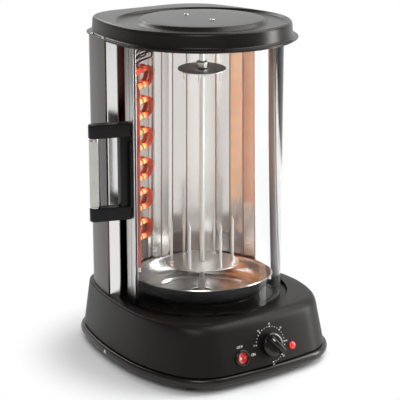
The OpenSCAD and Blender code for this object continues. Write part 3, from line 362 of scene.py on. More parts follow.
def glowing(name, s, low, high):
    """Red-hot tube sheath: brightest along the passes, cooler in the bends and in the top pass."""
    f = Finish(name, Emission_Strength=1.6)
    drift, scale = f.noise(26, 2), f.noise(260, 3)
    left_of_back = (f.along(0) * -1).math("ARCTAN2", f.along(1))
    passes = (left_of_back.above(radians(s.tube_from + 3), radians(4))
              - left_of_back.above(radians(s.tube_to - 1), radians(3)))
    top_pass = f.along(2).above((s.deck_z + s.tube_top - 16) * MM, 8 * MM)
    heat = (passes * 0.66 + drift.above(0.5, 0.2) * 0.2 * (passes + 0.25) + 0.02) * (1 - top_pass * 0.7)
    f.feed("Base Color", f.mix(scale, (0.05, 0.02, 0.015), (0.12, 0.05, 0.035)))
    f.feed("Roughness", scale * 0.2 + 0.55)
    f.feed("Emission Color", f.add("ShaderNodeValToRGB", {"stops": (
        (0.0, shade(low, 0.1)), (0.35, low), (0.62, high), (1.0, (1.0, 0.62, 0.25)))}, {0: heat}))
    f.bump(scale, 0.3, 0.05)
    return f


def glass_finish(name, tint):
    """Clear coated glass: nearly even, with the faintest ripple and weak reflections."""
    f = Finish(name, Transmission_Weight=1.0, IOR=1.15, Roughness=0.0)
    f.tones(f.noise(3, 1), tint, 0.99, 1)
    f.bump(f.noise(9, 1), 0.05, 0.4)
    return f


def lens_finish(name, rgb, strength, roughness=0.18):
    """Moulded coloured lens that glows: the lamp has a bulb behind it, while the rocker's faint glow is painted light.
    """
    f = Finish(name, Emission_Strength=strength, Coat_Weight=0.6, Coat_Roughness=0.06)
    core = f.noise(150, 2)
    f.tones(core, rgb, 0.8, 1)
    f.feed("Emission Color", f.mix(core, shade(rgb, 0.7), rgb))
    f.feed("Roughness", core * 0.1 + roughness)
    return f


def ink_finish(name, rgb):
    """Pad print: slightly uneven coverage."""
    f = Finish(name, IOR=1.45)
    cover = f.noise(2200, 2)
    f.tones(cover, rgb, 0.8, 1)
    f.feed("Roughness", cover * 0.2 + 0.45)
    return f


def rubbery(name, rgb):
    """Dull rubber with pores and dust."""
    f = Finish(name, IOR=1.5)
    pores, dust = f.noise(700, 3), f.noise(22, 4)
    f.tones(dust, rgb, 1, 2.2)
    f.feed("Roughness", pores * 0.15 + 0.68)
    f.bump(pores, 0.3, 0.05)
    return f


def make_finishes():
    """All materials by the short names that the pieces use."""
    c = bpy.context.scene.grill_finishes
    made = {
        "moulding": moulded("satin_black_moulding", c.moulding, 0.40),
        "lip": moulded("lip_moulding", c.moulding, 0.28, ior=1.46),
        "enamel": enamelled("black_enamel", c.enamel, 0.28),
        "handle": moulded("handle_black", c.handle, 0.36, 2400, 0.02),
        "knob": moulded("knob_black", c.handle, 0.17, 2600, 0.01, 1.5),
        "housing": brushed("dark_brushed_sheet", c.housing, 0.34),
        "liner": plated("heat_tinted_steel", (0.34, 0.16, 0.12), 0.22),
        "strip": brushed("door_strip_steel", shade(c.steel, 1.1), 0.28),
        "bright": brushed("bright_steel", c.bright, 0.3, (600, 600, 60), 0.06),
        "pillar": brushed("pillar_steel", shade(c.bright, 1.1), 0.2, (900, 900, 5), 0.05),
        "chrome": plated("chrome", (0.50, 0.48, 0.455), 0.1),
        "screw": plated("plated_screw", (0.66, 0.65, 0.63), 0.28),
        "sheet": reflector_finish("reflector_sheet", c.sheet),
        "hot": glowing("hot_tube", sizes(), c.glow_low, c.glow_high),
        "wire": plated("oxidised_wire", (0.075, 0.035, 0.03), 0.5, 0.6),
        "clip": plated("clip_steel", (0.42, 0.36, 0.31), 0.4),
        "ceramic": moulded("glazed_ceramic", (0.72, 0.70, 0.64), 0.3, 500, 0.02),
        "glass": glass_finish("clear_glass", (0.985, 0.995, 0.99)),
        "rubber": rubbery("black_rubber", (0.014, 0.014, 0.014)),
        "bronze": plated("oiled_bronze", (0.50, 0.33, 0.15), 0.35),
        "can": plated("motor_can", (0.50, 0.50, 0.48), 0.4),
        "case": moulded("timer_case", (0.55, 0.52, 0.44), 0.45),
        "nut": brushed("nut_aluminium", (0.70, 0.68, 0.64), 0.3, (300, 300, 300), 0.08),
        "bowl_out": enamelled("bowl_enamel", (0.022, 0.022, 0.022), 0.3),
        "bowl_in": brushed("bowl_steel", (0.66, 0.65, 0.64), 0.22, (260, 260, 260), 0.08),
        "ink": ink_finish("panel_print", c.print_ink),
        # painted glow: no lamp is behind the rocker, and its weak emission only brightens the red
        "rocker": lens_finish("rocker_red", shade(c.red, 0.55), 0.12),
        "lamp": lens_finish("lamp_red", c.red, 0.8, 0.12),
    }
    return {key: f.material for key, f in made.items()}


# ---------------------------------------------------------------- mesh helpers

def at(r, front_angle, z=0.0):
    """A point at a radius and a front angle."""
    a = radians(front_angle)
    return Vector((r * sin(a), -r * cos(a), z))


def back_at(r, left_of_back, z=0.0):
    """A point at an angle left of the back centre, as the front sees it."""
    return at(r, 180 + left_of_back, z)


def turns(*degrees):
    """Angles in radians over a range of whole degrees."""
    return [radians(d) for d in range(*degrees)]


def new_object(name, data):
    """A new object in the scene."""
    obj = bpy.data.objects.new(name, data)
    bpy.context.scene.collection.objects.link(obj)
    return obj


def new_mesh(name, bm):
    """Turns a bmesh into a mesh and frees it."""
    mesh = bpy.data.meshes.new(name)
    bm.to_mesh(mesh)
    bm.free()
    return mesh


def piece(name, bm, materials, body, replaces=(), crease=35, place=None):
    if place is not None:
        move(bm, place, bm.verts)
    bmesh.ops.scale(bm, vec=(MM, MM, MM), verts=bm.verts)
    mesh = new_mesh(name, bm)
    for key in ([materials] if isinstance(materials, str) else materials):
        mesh.materials.append(FINISHES[key])
    mesh.polygons.foreach_set("use_smooth", [True] * len(mesh.polygons))
    mesh.set_sharp_from_angle(angle=radians(crease))
    obj = new_object(name, mesh)
    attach(obj, body)
    if replaces:
        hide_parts(*replaces)


def shift(x=0.0, y=0.0, z=0.0):
    """The matrix of a move."""
    return Matrix.Translation((x, y, z))


def turn(degrees, axis="Z"):
    """The matrix of a turn."""
    return Matrix.Rotation(radians(degrees), 4, axis)


def move(bm, place, verts):
    bmesh.ops.transform(bm, matrix=place, verts=verts)


def since(before, bm):
    """The vertices that were added to a bmesh since the set before was taken."""
    return [v for v in bm.verts if v not in before]


def edges_of(verts):
    """The edges that meet these vertices."""
    return {e for v in verts for e in v.link_edges}


def bevel(bm, edges, offset, segments=2):
    """Rounds edges."""
    bmesh.ops.bevel(bm, geom=list(edges), offset=offset, segments=segments, profile=0.5, affect="EDGES", material=-1)


def face_out(bm, verts):
    """Turns the faces round these vertices outward."""
    bmesh.ops.recalc_face_normals(bm, faces=list({f for v in verts for f in v.link_faces}))


def outward(bm):
    """Merges doubled vertices and turns every face outward."""
    bmesh.ops.remove_doubles(bm, verts=bm.verts, dist=1e-4)
    bmesh.ops.recalc_face_normals(bm, faces=bm.faces)


def evaluated(helper):
    """The finished shape of a helper object as a bmesh. The helper is removed."""
    bpy.context.view_layer.update()
    mesh = bpy.data.meshes.new_from_object(helper.evaluated_get(bpy.context.evaluated_depsgraph_get()))
    bpy.data.objects.remove(helper)
    bm = bmesh.new()
    bm.from_mesh(mesh)
    bpy.data.meshes.remove(mesh)
    return bm


def cut_out(bm, cutter):
    """Takes one closed bmesh out of another, through a Boolean modifier on a helper object."""
    solid, tool = (new_object(label, new_mesh(label, source)) for label, source in (("solid", bm), ("cutter", cutter)))
    modifier = solid.modifiers.new("cut", "BOOLEAN")
    modifier.object, modifier.operation, modifier.solver = tool, "DIFFERENCE", "EXACT"
    result = evaluated(solid)
    bpy.data.objects.remove(tool)
    return result


def merge(bm, part, place):
    """Moves a bmesh to its place and adds it to another."""
    move(part, place, part.verts)
    mesh = new_mesh("part", part)
    bm.from_mesh(mesh)
    bpy.data.meshes.remove(mesh)


def polyline(bm, points):
    """Adds vertices joined by edges, and returns both."""
    verts = [bmesh.ops.create_vert(bm, co=point)["vert"][0] for point in points]
    return verts, [bm.edges.new(pair) for pair in zip(verts, verts[1:])]


def softened(points, radius, steps=3):
    """A polyline with its inner corners rounded."""
    out = [points[0]]
    for before, corner, after in zip(points, points[1:], points[2:]):
        p, q, r = Vector(before), Vector(corner), Vector(after)
        cut = min(radius, (p - q).length * 0.45, (r - q).length * 0.45)
        a, b = q + (p - q).normalized() * cut, q + (r - q).normalized() * cut
        out += [tuple(a.lerp(q, t).lerp(q.lerp(b, t), t)) for t in (k / steps for k in range(steps + 1))]
    return out + [points[-1]]


def turned(bm, profile, steps=96, place=None, soft=0.0, groups=None):
    """Spins a profile of (radius, height) about the Z axis into a closed skin of the bmesh, which it returns.

    soft rounds the corners, and groups gives each stretch of the profile a material index."""
    if soft:
        profile = softened(profile, soft)
    before, first_face = set(bm.verts), len(bm.faces)
    verts, edges = polyline(bm, [(r, 0, z) for r, z in profile])
    bmesh.ops.spin(bm, geom=verts + edges, cent=(0, 0, 0), axis=UP, angle=2 * math.pi, steps=steps, use_merge=True)
    if groups:
        middles = [((r0 + r1) / 2, (z0 + z1) / 2) for (r0, z0), (r1, z1) in zip(profile, profile[1:])]
        for face in list(bm.faces)[first_face:]:
            centre = face.calc_center_median()
            here = (math.hypot(centre.x, centre.y), centre.z)
            face.material_index = groups[min(range(len(middles)), key=lambda i: math.dist(here, middles[i]))]
    bmesh.ops.remove_doubles(bm, verts=since(before, bm), dist=1e-4)
    verts = since(before, bm)
    face_out(bm, verts)
    if place is not None:
        move(bm, place, verts)
    return bm


def block(bm, size, place=None, edge=0.0, steps=2):
    """Adds a box, with its edges rounded, to the bmesh, which it returns."""
    before = set(bm.verts)
    bmesh.ops.create_cube(bm, size=1)
    bmesh.ops.scale(bm, vec=size, verts=since(before, bm))
    if edge:
        bevel(bm, edges_of(since(before, bm)), edge, steps)
    if place is not None:
        move(bm, place, since(before, bm))
    return bm


def bent_bar(bm, r0, r1, z0, z1, a0, a1, edge):
    """Sweeps a rectangle between two front angles into a bar with eased corners in the bmesh, which it returns."""
    before = set(bm.verts)
    corners, _ = polyline(bm, [at(r, a0, z) for r, z in ((r0, z0), (r1, z0), (r1, z1), (r0, z1))])
    face = bm.faces.new(corners)
    bmesh.ops.spin(bm, geom=[face] + list(face.edges) + corners, cent=(0, 0, 0), axis=UP, angle=radians(a1 - a0),
                   steps=max(2, round((a1 - a0) / 1.5)))
    verts = since(before, bm)
    face_out(bm, verts)
    if edge:
        bevel(bm, [e for e in edges_of(verts) if len(e.link_faces) == 2 and e.calc_face_angle(0) > 1], edge)
    return bm


def tube(name, path, radius, resolution=6):
    """A round tube along points, as a bmesh."""
    curve = bpy.data.curves.new(name, "CURVE")
    curve.dimensions, curve.bevel_depth, curve.bevel_resolution = "3D", radius, resolution
    curve.use_fill_caps = True
    spline = curve.splines.new("POLY")
    spline.points.add(len(path) - 1)
    for point, where in zip(spline.points, path):
        point.co = (*where, 1)
    bm = evaluated(new_object(name, curve))
    bpy.data.curves.remove(curve)
    outward(bm)
    return bm


# ---------------------------------------------------------------- rings that meet smoothly

def ring(bm, start, arcs, straights=None, drawn_back=None):
    """A closed ring: half of it is arcs of (radius, degrees, steps) that head for +X first, and half is mirrored.

    straights gives, by the number of arcs made so far, a point to run straight to. Returns the ring's edges."""
    before = set(bm.edges)
    vert = bmesh.ops.create_vert(bm, co=start)["vert"][0]
    heading = 0.0
    for i in range(len(arcs) + 1):
        if straights and i in straights:
            vert = bmesh.ops.extrude_vert_indiv(bm, verts=[vert])["verts"][0]
            vert.co = (*straights[i], start[2])
        if i < len(arcs):
            r, sweep, steps = arcs[i]
            centre = vert.co + r * Vector((-sin(heading), cos(heading), 0))
            made = bmesh.ops.spin(bm, geom=[vert], cent=centre, axis=UP, angle=radians(sweep), steps=steps)
            vert = [g for g in made["geom_last"] if isinstance(g, bmesh.types.BMVert)][0]
            heading += radians(sweep)
    half = [e for e in bm.edges if e not in before]
    verts = list({v for e in half for v in e.verts})
    if drawn_back:
        for v in verts:
            v.co.y = drawn_back(v.co.y)
    bmesh.ops.mirror(bm, geom=half + verts, matrix=Matrix.Identity(4), merge_dist=1e-3, axis="X")
    return [e for e in bm.edges if e not in before]


def loft(bm, rings, close=False):
    """Joins each ring to the next, and the last to the first where it closes."""
    pairs = list(zip(rings, rings[1:])) + ([(rings[-1], rings[0])] if close else [])
    for a, b in pairs:
        bmesh.ops.bridge_loops(bm, edges=a + b)


BASE_ARC_STEPS = (6, 20, 8, 8, 16)
BASE_HALF_STEPS = sum(BASE_ARC_STEPS) + 2
LID_ARC_STEPS = (36, 8, 20)
LID_HALF_STEPS = sum(LID_ARC_STEPS) + 1


class BasePlan:
    """The plan of the base: bowed front, round corners, flanks that draw in.

    A half of it is five arcs: front bow, front corner, flank, side and rear corner."""

    bow_a, corner_a, side_a, flank_r, side_r = 6.0, 62.0, 18.0, 214.0, 450.0

    def __init__(self, s):
        self.s = s
        self.flank_a = 90 - self.bow_a - self.corner_a
        self.half_w = s.glass_r + s.lid_gap + s.base_ledge
        a, b = radians(self.bow_a), radians(self.bow_a + self.corner_a)
        self.bow_r = (self.half_w - self.flank_r * (1 - cos(radians(self.flank_a)))
                      - s.corner_r * (sin(b) - sin(a))) / sin(a)
        self.wide_y = (-s.base_front + self.bow_r * (1 - cos(a)) + s.corner_r * (cos(a) - cos(b))
                       + self.flank_r * cos(b))
        self.seam_z = s.foot_h + s.lip_h + s.seam_gap
        self.rise = s.deck_z - self.seam_z
        self.front_run = s.base_front + self.wide_y
        self.tilt = math.atan(self.front_back(1) / self.rise)

    def level(self, z):
        """0 at the seam over the lip and 1 at the deck."""
        return (z - self.seam_z) / self.rise

    def front_back(self, t):
        """How far the front has gone back at a level."""
        s = self.s
        return s.side_draft * t + s.front_lean * t * (1 - s.side_draft * t / self.front_run)

    def ring(self, bm, inset, back, z):
        """The plan as a ring, drawn in all round by inset, with its front drawn back further."""
        s, a = self.s, radians(self.side_a)
        arcs = [(r - inset, sweep, steps) for r, sweep, steps in zip(
            (self.bow_r, s.corner_r, self.flank_r, self.side_r, s.rear_corner_r),
            (self.bow_a, self.corner_a, self.flank_a, self.side_a, 90 - self.side_a), BASE_ARC_STEPS)]
        side_end = Vector((self.half_w - self.side_r * (1 - cos(a)), self.wide_y + self.side_r * sin(a)))
        rear_y = s.base_rear - s.rear_corner_r * (1 - sin(a))
        rear = side_end + (rear_y - side_end.y) / cos(a) * Vector((-sin(a), cos(a)))
        rear -= inset * Vector((cos(a), sin(a)))

        def drawn_back(y):
            return self.wide_y + (y - self.wide_y) * (1 - back / self.front_run) if y < self.wide_y else y

        return ring(bm, (0, -s.base_front + inset, z), arcs, {4: rear, 5: (0, s.base_rear - inset)}, drawn_back)

    def circle(self, bm, r, z):
        """A circle about the spit axis with as many points as the plan."""
        return ring(bm, (0, -r, z), [(r, 180, BASE_HALF_STEPS)])

    def panel(self, x, z):
        """The frame that sits square on the panel: X to the right, Y up it, Z out of it."""
        s, t = self.s, self.level(z)
        inset, r = s.side_draft * t, self.bow_r - s.side_draft * t
        sweep = math.asin(x / r)
        bowed = -s.base_front + inset + r * (1 - cos(sweep)) - self.wide_y
        y = self.wide_y + bowed * (1 - s.front_lean * t / self.front_run)
        return shift(x, y, z) @ Matrix.Rotation(sweep, 4, "Z") @ Matrix.Rotation(math.pi / 2 - self.tilt, 4, "X")


def lid_back(s):
    """From the spit axis to the flat back of the lid wall."""
    a = radians(s.lid_side_a)
    return s.lid_side_r * sin(a) + s.lid_corner_r * (1 - sin(a))


def lid_ring(bm, s, out, z):
    """The plan of the lid wall as a ring, let out by a distance."""
    r = s.glass_r + s.lid_gap
    arcs = [(radius + out, sweep, steps) for radius, sweep, steps in zip(
        (r, s.lid_side_r, s.lid_corner_r), (90, s.lid_side_a, 90 - s.lid_side_a), LID_ARC_STEPS)]
    return ring(bm, (0, -r - out, z), arcs, {3: (0, lid_back(s) + out)})


def track_inside(s):
    """Inner radius of the door's tracks in the deck and under the lid."""
    return s.glass_r - s.glass_t - s.strip_t - TRACK_PLAY


def raised(bm, edges, height, sheet):
    """Pulls a line of edges up into a wall of sheet metal, and returns the bmesh."""
    made = bmesh.ops.extrude_edge_only(bm, edges=edges)
    bmesh.ops.translate(bm, vec=(0, 0, height), verts=[g for g in made["geom"] if isinstance(g, bmesh.types.BMVert)])
    bmesh.ops.recalc_face_normals(bm, faces=bm.faces)
    bmesh.ops.solidify(bm, geom=bm.faces[:], thickness=sheet)
    bmesh.ops.recalc_face_normals(bm, faces=bm.faces)
    return bm


# ---------------------------------------------------------------- pieces

class PieceOperator:
    """Shared by the operators: build gets the sizes in millimetres."""

    bl_options = {"REGISTER", "UNDO"}

    def execute(self, context):
        self.build(sizes())
        return {"FINISHED"}


class GRILL_OT_base(PieceOperator, bpy.types.Operator):
    """Build the base moulding with its deck, and the rolled lip under it"""

    bl_idname = "grill.base"
    bl_label = "Base"

    def build(self, s):
        plan = BasePlan(s)
        deck, track_in, track_out = s.deck_z, track_inside(s), s.glass_r + s.lid_gap - 2.5
        bm = bmesh.new()

        def front_extra(z):
            """How far the soft top edge takes the front back."""
            rise = max(0.0, s.front_round - (deck - z))
            return s.front_round - math.sqrt(s.front_round ** 2 - rise ** 2)

        def wall(z, extra=0.0):
            t = plan.level(z)
            return plan.ring(bm, s.side_draft * t + extra, s.front_lean * t + front_extra(z), z)

        rings = [wall(plan.seam_z, 0.5), wall(plan.seam_z + 0.5)]
        low, high = deck - s.front_round, deck - s.side_round
        rings += [wall(plan.seam_z + (low - plan.seam_z) * k / 6) for k in range(1, 6)]
        rings += [wall(low + (high - low) * sin(math.pi / 2 * k / 4)) for k in range(5)]
        rings += [wall(deck - s.side_round * (1 - sin(a)), s.side_round * (1 - cos(a))) for a in turns(15, 91, 15)]
        bowl_ring, shaft_hole = s.bowl_foot_r + 1.5, 9
        # from outside in, each radius and height over the deck: door track, fine groove, bowl ring, shaft hole
        for r, z in ((track_out + 0.5, 0), (track_out, -0.5), (track_out, -TRACK_DEPTH), (track_in, -TRACK_DEPTH),
                     (track_in, -0.4), (track_in - 0.4, 0), (track_in - 5.8, 0), (track_in - 5.9, -1),
                     (track_in - 6.9, -1), (track_in - 7, 0), (bowl_ring + 2.5, 0), (bowl_ring + 2.4, 1.6),
                     (bowl_ring + 2, 2), (bowl_ring + 0.5, 2), (bowl_ring + 0.1, 1.6), (bowl_ring, 0),
                     (shaft_hole, 0), (shaft_hole, -6), (track_out + 2.5, -6.5)):
            rings.append(plan.circle(bm, r, deck + z))
        rings.append(plan.ring(bm, s.side_draft * 0.8 + 3, s.front_lean + s.front_round * 0.6, deck - 9))
        rings.append(wall(plan.seam_z, 2.5))
        loft(bm, rings, close=True)
        outward(bm)
        piece("base_moulding", bm, "moulding", "grill", ["base_shell"], 30)

        bm = bmesh.new()
        half, rings = s.lip_h / 2, []
        for k in range(17):
            a = -math.pi / 2 + math.pi * k / 16
            rings.append(plan.ring(bm, half * 0.55 * (1 - cos(a)) - s.lip_out, 0, s.foot_h + half + half * sin(a)))
        rings += [plan.ring(bm, 1.5, 0, z) for z in (s.foot_h + s.lip_h, s.foot_h + 2.5)]
        loft(bm, rings)
        for end in (rings[0], rings[-1]):
            bmesh.ops.edgeloop_fill(bm, edges=end)
        outward(bm)
        slots = bmesh.new()
        for i in range(9):
            block(slots, (4, 46, 20), shift((i - 4) * 9, 60, s.foot_h))
        piece("base_lip", cut_out(bm, slots), "lip", "grill", ["base_plate"], 30)


class GRILL_OT_lid(PieceOperator, bpy.types.Operator):
    """Build the lid with its flared rim and ring-shaped dish, and the screws that hold it"""

    bl_idname = "grill.lid"
    bl_label = "Lid"

    def build(self, s):
        rim_z = s.deck_z + s.chamber_h + 2
        top, wall_r = rim_z + s.lid_h, s.glass_r + s.lid_gap
        bm = bmesh.new()
        crown, cove, shoulder = 2.0, 3.4, 4.5
        # each level is how far the wall is let out, and its height
        levels = [(-2, rim_z + 0.3), (s.rim_out - 1.2, rim_z)]
        levels += [(s.rim_out - 0.9 + 0.9 * cos(a), rim_z + s.rim_t / 2 * (1 + sin(a))) for a in turns(-75, 90, 25)]
        levels += [(3 - 3 * sin(a), rim_z + s.rim_t + cove * (1 - cos(a))) for a in turns(0, 91, 11)]
        levels += [(-1 - shoulder * (1 - cos(a)), top - shoulder * (1 - sin(a))) for a in turns(0, 91, 9)]
        rings = [lid_ring(bm, s, out, z) for out, z in levels]
        dish = [(wall_r - inward, z) for inward, z in (
            (5.6, 0), (6.1, 0), (9, -s.dish_depth), (32, -s.dish_depth), (35.7, -0.3), (38, crown), (60, crown))]
        rings += [ring(bm, (0, -r, top + z), [(r, 180, LID_HALF_STEPS)])
                  for r, z in softened(dish + [(8, crown)], 1.6)]
        loft(bm, rings)
        bmesh.ops.edgeloop_fill(bm, edges=rings[-1])
        inner = [lid_ring(bm, s, out, z) for out, z in ((-3, top - 12), (-5, top - 7))]
        loft(bm, [rings[0]] + inner)
        bmesh.ops.edgeloop_fill(bm, edges=inner[-1])
        outward(bm)
        piece("lid_shell", bm, "enamel", "grill", ["lid"], 28)

        bm = bmesh.new()
        for y, slit_deg in ((-22, 35), (34, 70)):
            cross_screw(bm, 3.4, 1.55, shift(0, y, top + crown), slit_deg)
        piece("lid_screw_heads", bm, "screw", "grill", ["lid_screws"])
        bm = bmesh.new()
        seat = s.lid_side_r + 4.2
        for side in (-1, 1):
            for y in (50, 90):
                a = math.asin(y / seat)
                x = side * (wall_r - s.lid_side_r + seat * cos(a))
                cross_screw(bm, 2.2, 1.4, shift(x, y, rim_z + s.rim_t + 0.7), 20 * side)
        piece("rim_screw_heads", bm, "screw", "grill", ["rim_screws"])


def cross_screw(bm, r, h, place, slit_deg):
    """Adds a domed head with a cross recess."""
    head = turned(bmesh.new(), [(0, 0), (r, 0), (r, h * 0.35), (r * 0.72, h * 0.8), (r * 0.3, h), (0, h)], 40,
                  soft=r * 0.12)
    for extra in (0, 90):
        head = cut_out(head, block(bmesh.new(), (r * 1.15, r * 0.24, h), shift(z=h) @ turn(slit_deg + extra)))
    if not head.faces:
        raise RuntimeError("a screw head was lost in its cut")
    merge(bm, head, place)


class GRILL_OT_housing(PieceOperator, bpy.types.Operator):
    """Build the steel sheet round the sides and back, and its bright front pillars"""

    bl_idname = "grill.housing"
    bl_label = "Housing"

    def build(self, s):
        high = s.chamber_h + 1
        bm = bmesh.new()
        lid_ring(bm, s, s.housing_out - 0.6, s.deck_z)
        bmesh.ops.bisect_plane(bm, geom=bm.verts[:] + bm.edges[:], plane_co=(0, s.housing_from, 0),
                               plane_no=(0, 1, 0), clear_inner=True)
        raised(bm, bm.edges[:], high, 1.2)
        slots = bmesh.new()
        for i in range(10):
            block(slots, (44, 30, 3), shift(0, lid_back(s), s.deck_z + high - 40 - 8 * i))
        bm = cut_out(bm, slots)
        for face in bm.faces:
            face.material_index = face.normal.dot(face.calc_center_median() - Vector((0, 20, 0))) < 0
        piece("housing_sheet", bm, ("housing", "liner"), "grill", ["rear_housing"], 30)

        inner = s.glass_r + s.lid_gap + s.housing_out - 2.4
        far = s.lid_side_r + s.housing_out

        def inset(y):
            """How far the bowed side has come in at a distance behind the spit axis."""
            return far - math.sqrt(far * far - y * y)

        slant = math.sqrt(0.5)
        p1 = Vector((-inner + inset(s.housing_from), s.housing_from - 0.3))
        p2 = p1 + s.pillar_w * Vector((slant, -slant))
        behind = s.housing_from + 6
        line = [Vector((-inner + inset(behind), behind)), p1, p2, p2 + 4 * Vector((slant, slant))]
        for side, name in ((1, "left_pillar"), (-1, "right_pillar")):
            bm = bmesh.new()
            path = softened([(p.x * side, p.y) for p in line], 2.0, 5)
            _, edges = polyline(bm, [(x, y, s.deck_z) for x, y in path])
            raised(bm, edges, s.chamber_h - 0.3, 0.8)
            piece(name + "_strip", bm, "pillar", "grill", [name], 30)


class GRILL_OT_heater(PieceOperator, bpy.types.Operator):
    """Build the glowing tube in its twelve passes, and the thin dark hairpin above it"""

    bl_idname = "grill.heater"
    bl_label = "Heater"

    def build(self, s):
        reflector_r = track_inside(s) - 2.4
        r = reflector_r - s.tube_r - 2.1
        rows, pitch = HEATER_ROWS, s.tube_pitch
        bottom = s.deck_z + s.tube_top - (rows - 1) * pitch
        legs = (s.tube_to + 5, s.tube_to + 12)

        def bend(centre, along, radius, angles):
            """Points round a centre: 0 is straight down, a quarter turn is along."""
            return [centre + along * radius * sin(t) - UP * radius * cos(t) for t in angles]

        def leg(left_of_back, z, radius=9.0):
            """A bend from a pass downwards, and the straight leg that ends over the bowl."""
            centre = back_at(r, left_of_back, z - radius)
            points = bend(centre, back_at(1, left_of_back + 90), radius, turns(170, 89, -10))
            return points + [Vector((points[-1].x, points[-1].y, s.deck_z + s.bowl_h + 17))]

        path = leg(legs[0], bottom)[::-1]
        for row in range(rows):
            z = bottom + row * pitch
            leftmost = legs[0] if row == 0 else legs[1] if row == rows - 1 else s.tube_to
            first, last = (leftmost, s.tube_from) if row % 2 == 0 else (s.tube_from, leftmost)
            count = max(2, round(abs(last - first) / 2))
            path += [back_at(r, first + (last - first) * k / count, z) for k in range(count + 1)]
            if row < rows - 1:
                along = back_at(1, last + 90) * (-1 if row % 2 == 0 else 1)
                path += bend(back_at(r, last, z + pitch / 2), along, pitch / 2, turns(15, 166, 15))
        path += leg(legs[1], bottom + (rows - 1) * pitch)
        piece("heater_tube", tube("heater_tube", path, s.tube_r), "hot", "grill", ["heater"], 60)

        low, gap, wire_from, wire_to = s.deck_z + s.tube_top + 12, 8.0, 14.0, 40.0
        high = low + gap
        flat = reflector_r * cos(radians(FLAT_DEG / 2))
        ends = [(flat, wire_to), (r + 1.2, wire_to), (r, wire_to - 0.7)]
        path = [back_at(*end, low) for end in ends] + [back_at(r, a, low) for a in range(38, 14, -2)]
        path += bend(back_at(r, wire_from, low + gap / 2), -back_at(1, wire_from + 90), gap / 2, turns(0, 181, 15))
        path += [back_at(r, a, high) for a in range(16, 39, 2)] + [back_at(*end, high) for end in ends[::-1]]
        piece("hairpin_wire", tube("hairpin", path, 1.25, 4), "wire", "grill", ["upper_wire"], 60)


class GRILL_OT_door(PieceOperator, bpy.types.Operator):
    """Build the curved glass door with its strips and handle, and the fixed side glass"""

    bl_idname = "grill.door"
    bl_label = "Door"

    def build(self, s):
        inner, outer = s.glass_r - s.glass_t, s.glass_r
        strip_deg = math.degrees(s.strip_w / s.glass_r)
        low, high = s.deck_z - TRACK_DEPTH + 1.2, s.deck_z + s.chamber_h + 3.3
        bm = bent_bar(bmesh.new(), inner, outer, low, high, s.door_left + 1, s.door_right - 1, 0.4)
        piece("door_pane", bm, "glass", "door", ["door_glass"], 50)
        side_in = outer + s.strip_t + 1.6
        bm = bent_bar(bmesh.new(), side_in, side_in + s.glass_t, low, high, s.side_from, s.side_to, 0.4)
        piece("side_pane", bm, "glass", "grill", ["side_glass"], 50)

        z0, z1 = s.deck_z + s.shoe_h, s.deck_z + s.chamber_h - 1
        face, off_glass, eased = outer + s.strip_t, 0.02, 0.35
        for name, start, share in (("door_edge_left", s.door_left, 0.6),
                                   ("door_edge_right", s.door_right - strip_deg, 0.4)):
            bm = bmesh.new()
            groove, end = start + share * strip_deg, start + strip_deg
            lap = (start, start + 0.97) if start < 0 else (end - 0.97, end)
            for r0, r1, a0, a1, edge in ((outer + off_glass, face, start, groove - 0.4, eased),
                                         (outer + off_glass, face, groove + 0.4, end, eased),
                                         (outer + off_glass, face - 0.8, groove - 0.6, groove + 0.6, 0),
                                         (inner - s.strip_t, inner - off_glass, start, end, eased),
                                         (inner - 0.3, outer + 0.3, *lap, 0)):
                bent_bar(bm, r0, r1, z0, z1, a0, a1, edge)
            piece(name + "_strip", bm, "strip", "door", [name], 40)
        self.handle(s, strip_deg)

    def handle(self, s, strip_deg):
        """The frame of two arms and a web beside the left strip, and the grip tube between the arms."""
        face = s.glass_r + s.strip_t
        place = shift(z=s.deck_z + s.handle_z) @ turn(s.door_left + strip_deg / 2 - 90)
        lean = shift(face) @ turn(-s.handle_lean)
        bm = bmesh.new()
        reach = s.handle_reach + s.arm_w / 2
        for side in (-1, 1):
            before = set(bm.verts)
            block(bm, (reach + 0.6, s.arm_w, s.arm_h), shift(reach / 2 - 0.3))
            bevel(bm, [e for e in edges_of(since(before, bm))
                       if abs(e.verts[0].co.z - e.verts[1].co.z) > 1 and e.verts[0].co.x > reach / 2],
                  s.arm_w / 2 - 0.05, 12)
            bevel(bm, [e for e in edges_of(since(before, bm)) if len(e.link_faces) == 2 and e.calc_face_angle(0) > 0.9],
                  1.3, 4)
            move(bm, shift(z=side * s.handle_span / 2) @ lean, since(before, bm))
        gap = s.handle_span - s.arm_h
        block(bm, (14, 11, gap + 4), shift(face + 7 - 0.2, -2), 1.2, 4)
        block(bm, (3.4, 8, gap - 4), shift(face + 1.4, 6, -4), 0.9, 3)
        piece("handle_frame", bm, "handle", "door", ["handle_bracket"], 35, place)

        h, r = gap / 2 + 1, s.grip_r
        neck = r - 0.6
        bm = turned(bmesh.new(), [(0, -h), (neck, -h), (neck, -h + 3), (r, -h + 3.6), (r, h - 3.6), (neck, h - 3),
                                  (neck, h), (0, h)], 64, soft=0.4)
        piece("grip_sleeve", bm, "chrome", "door", ["grip_tube"], 40,
              place @ lean @ shift(s.handle_reach))


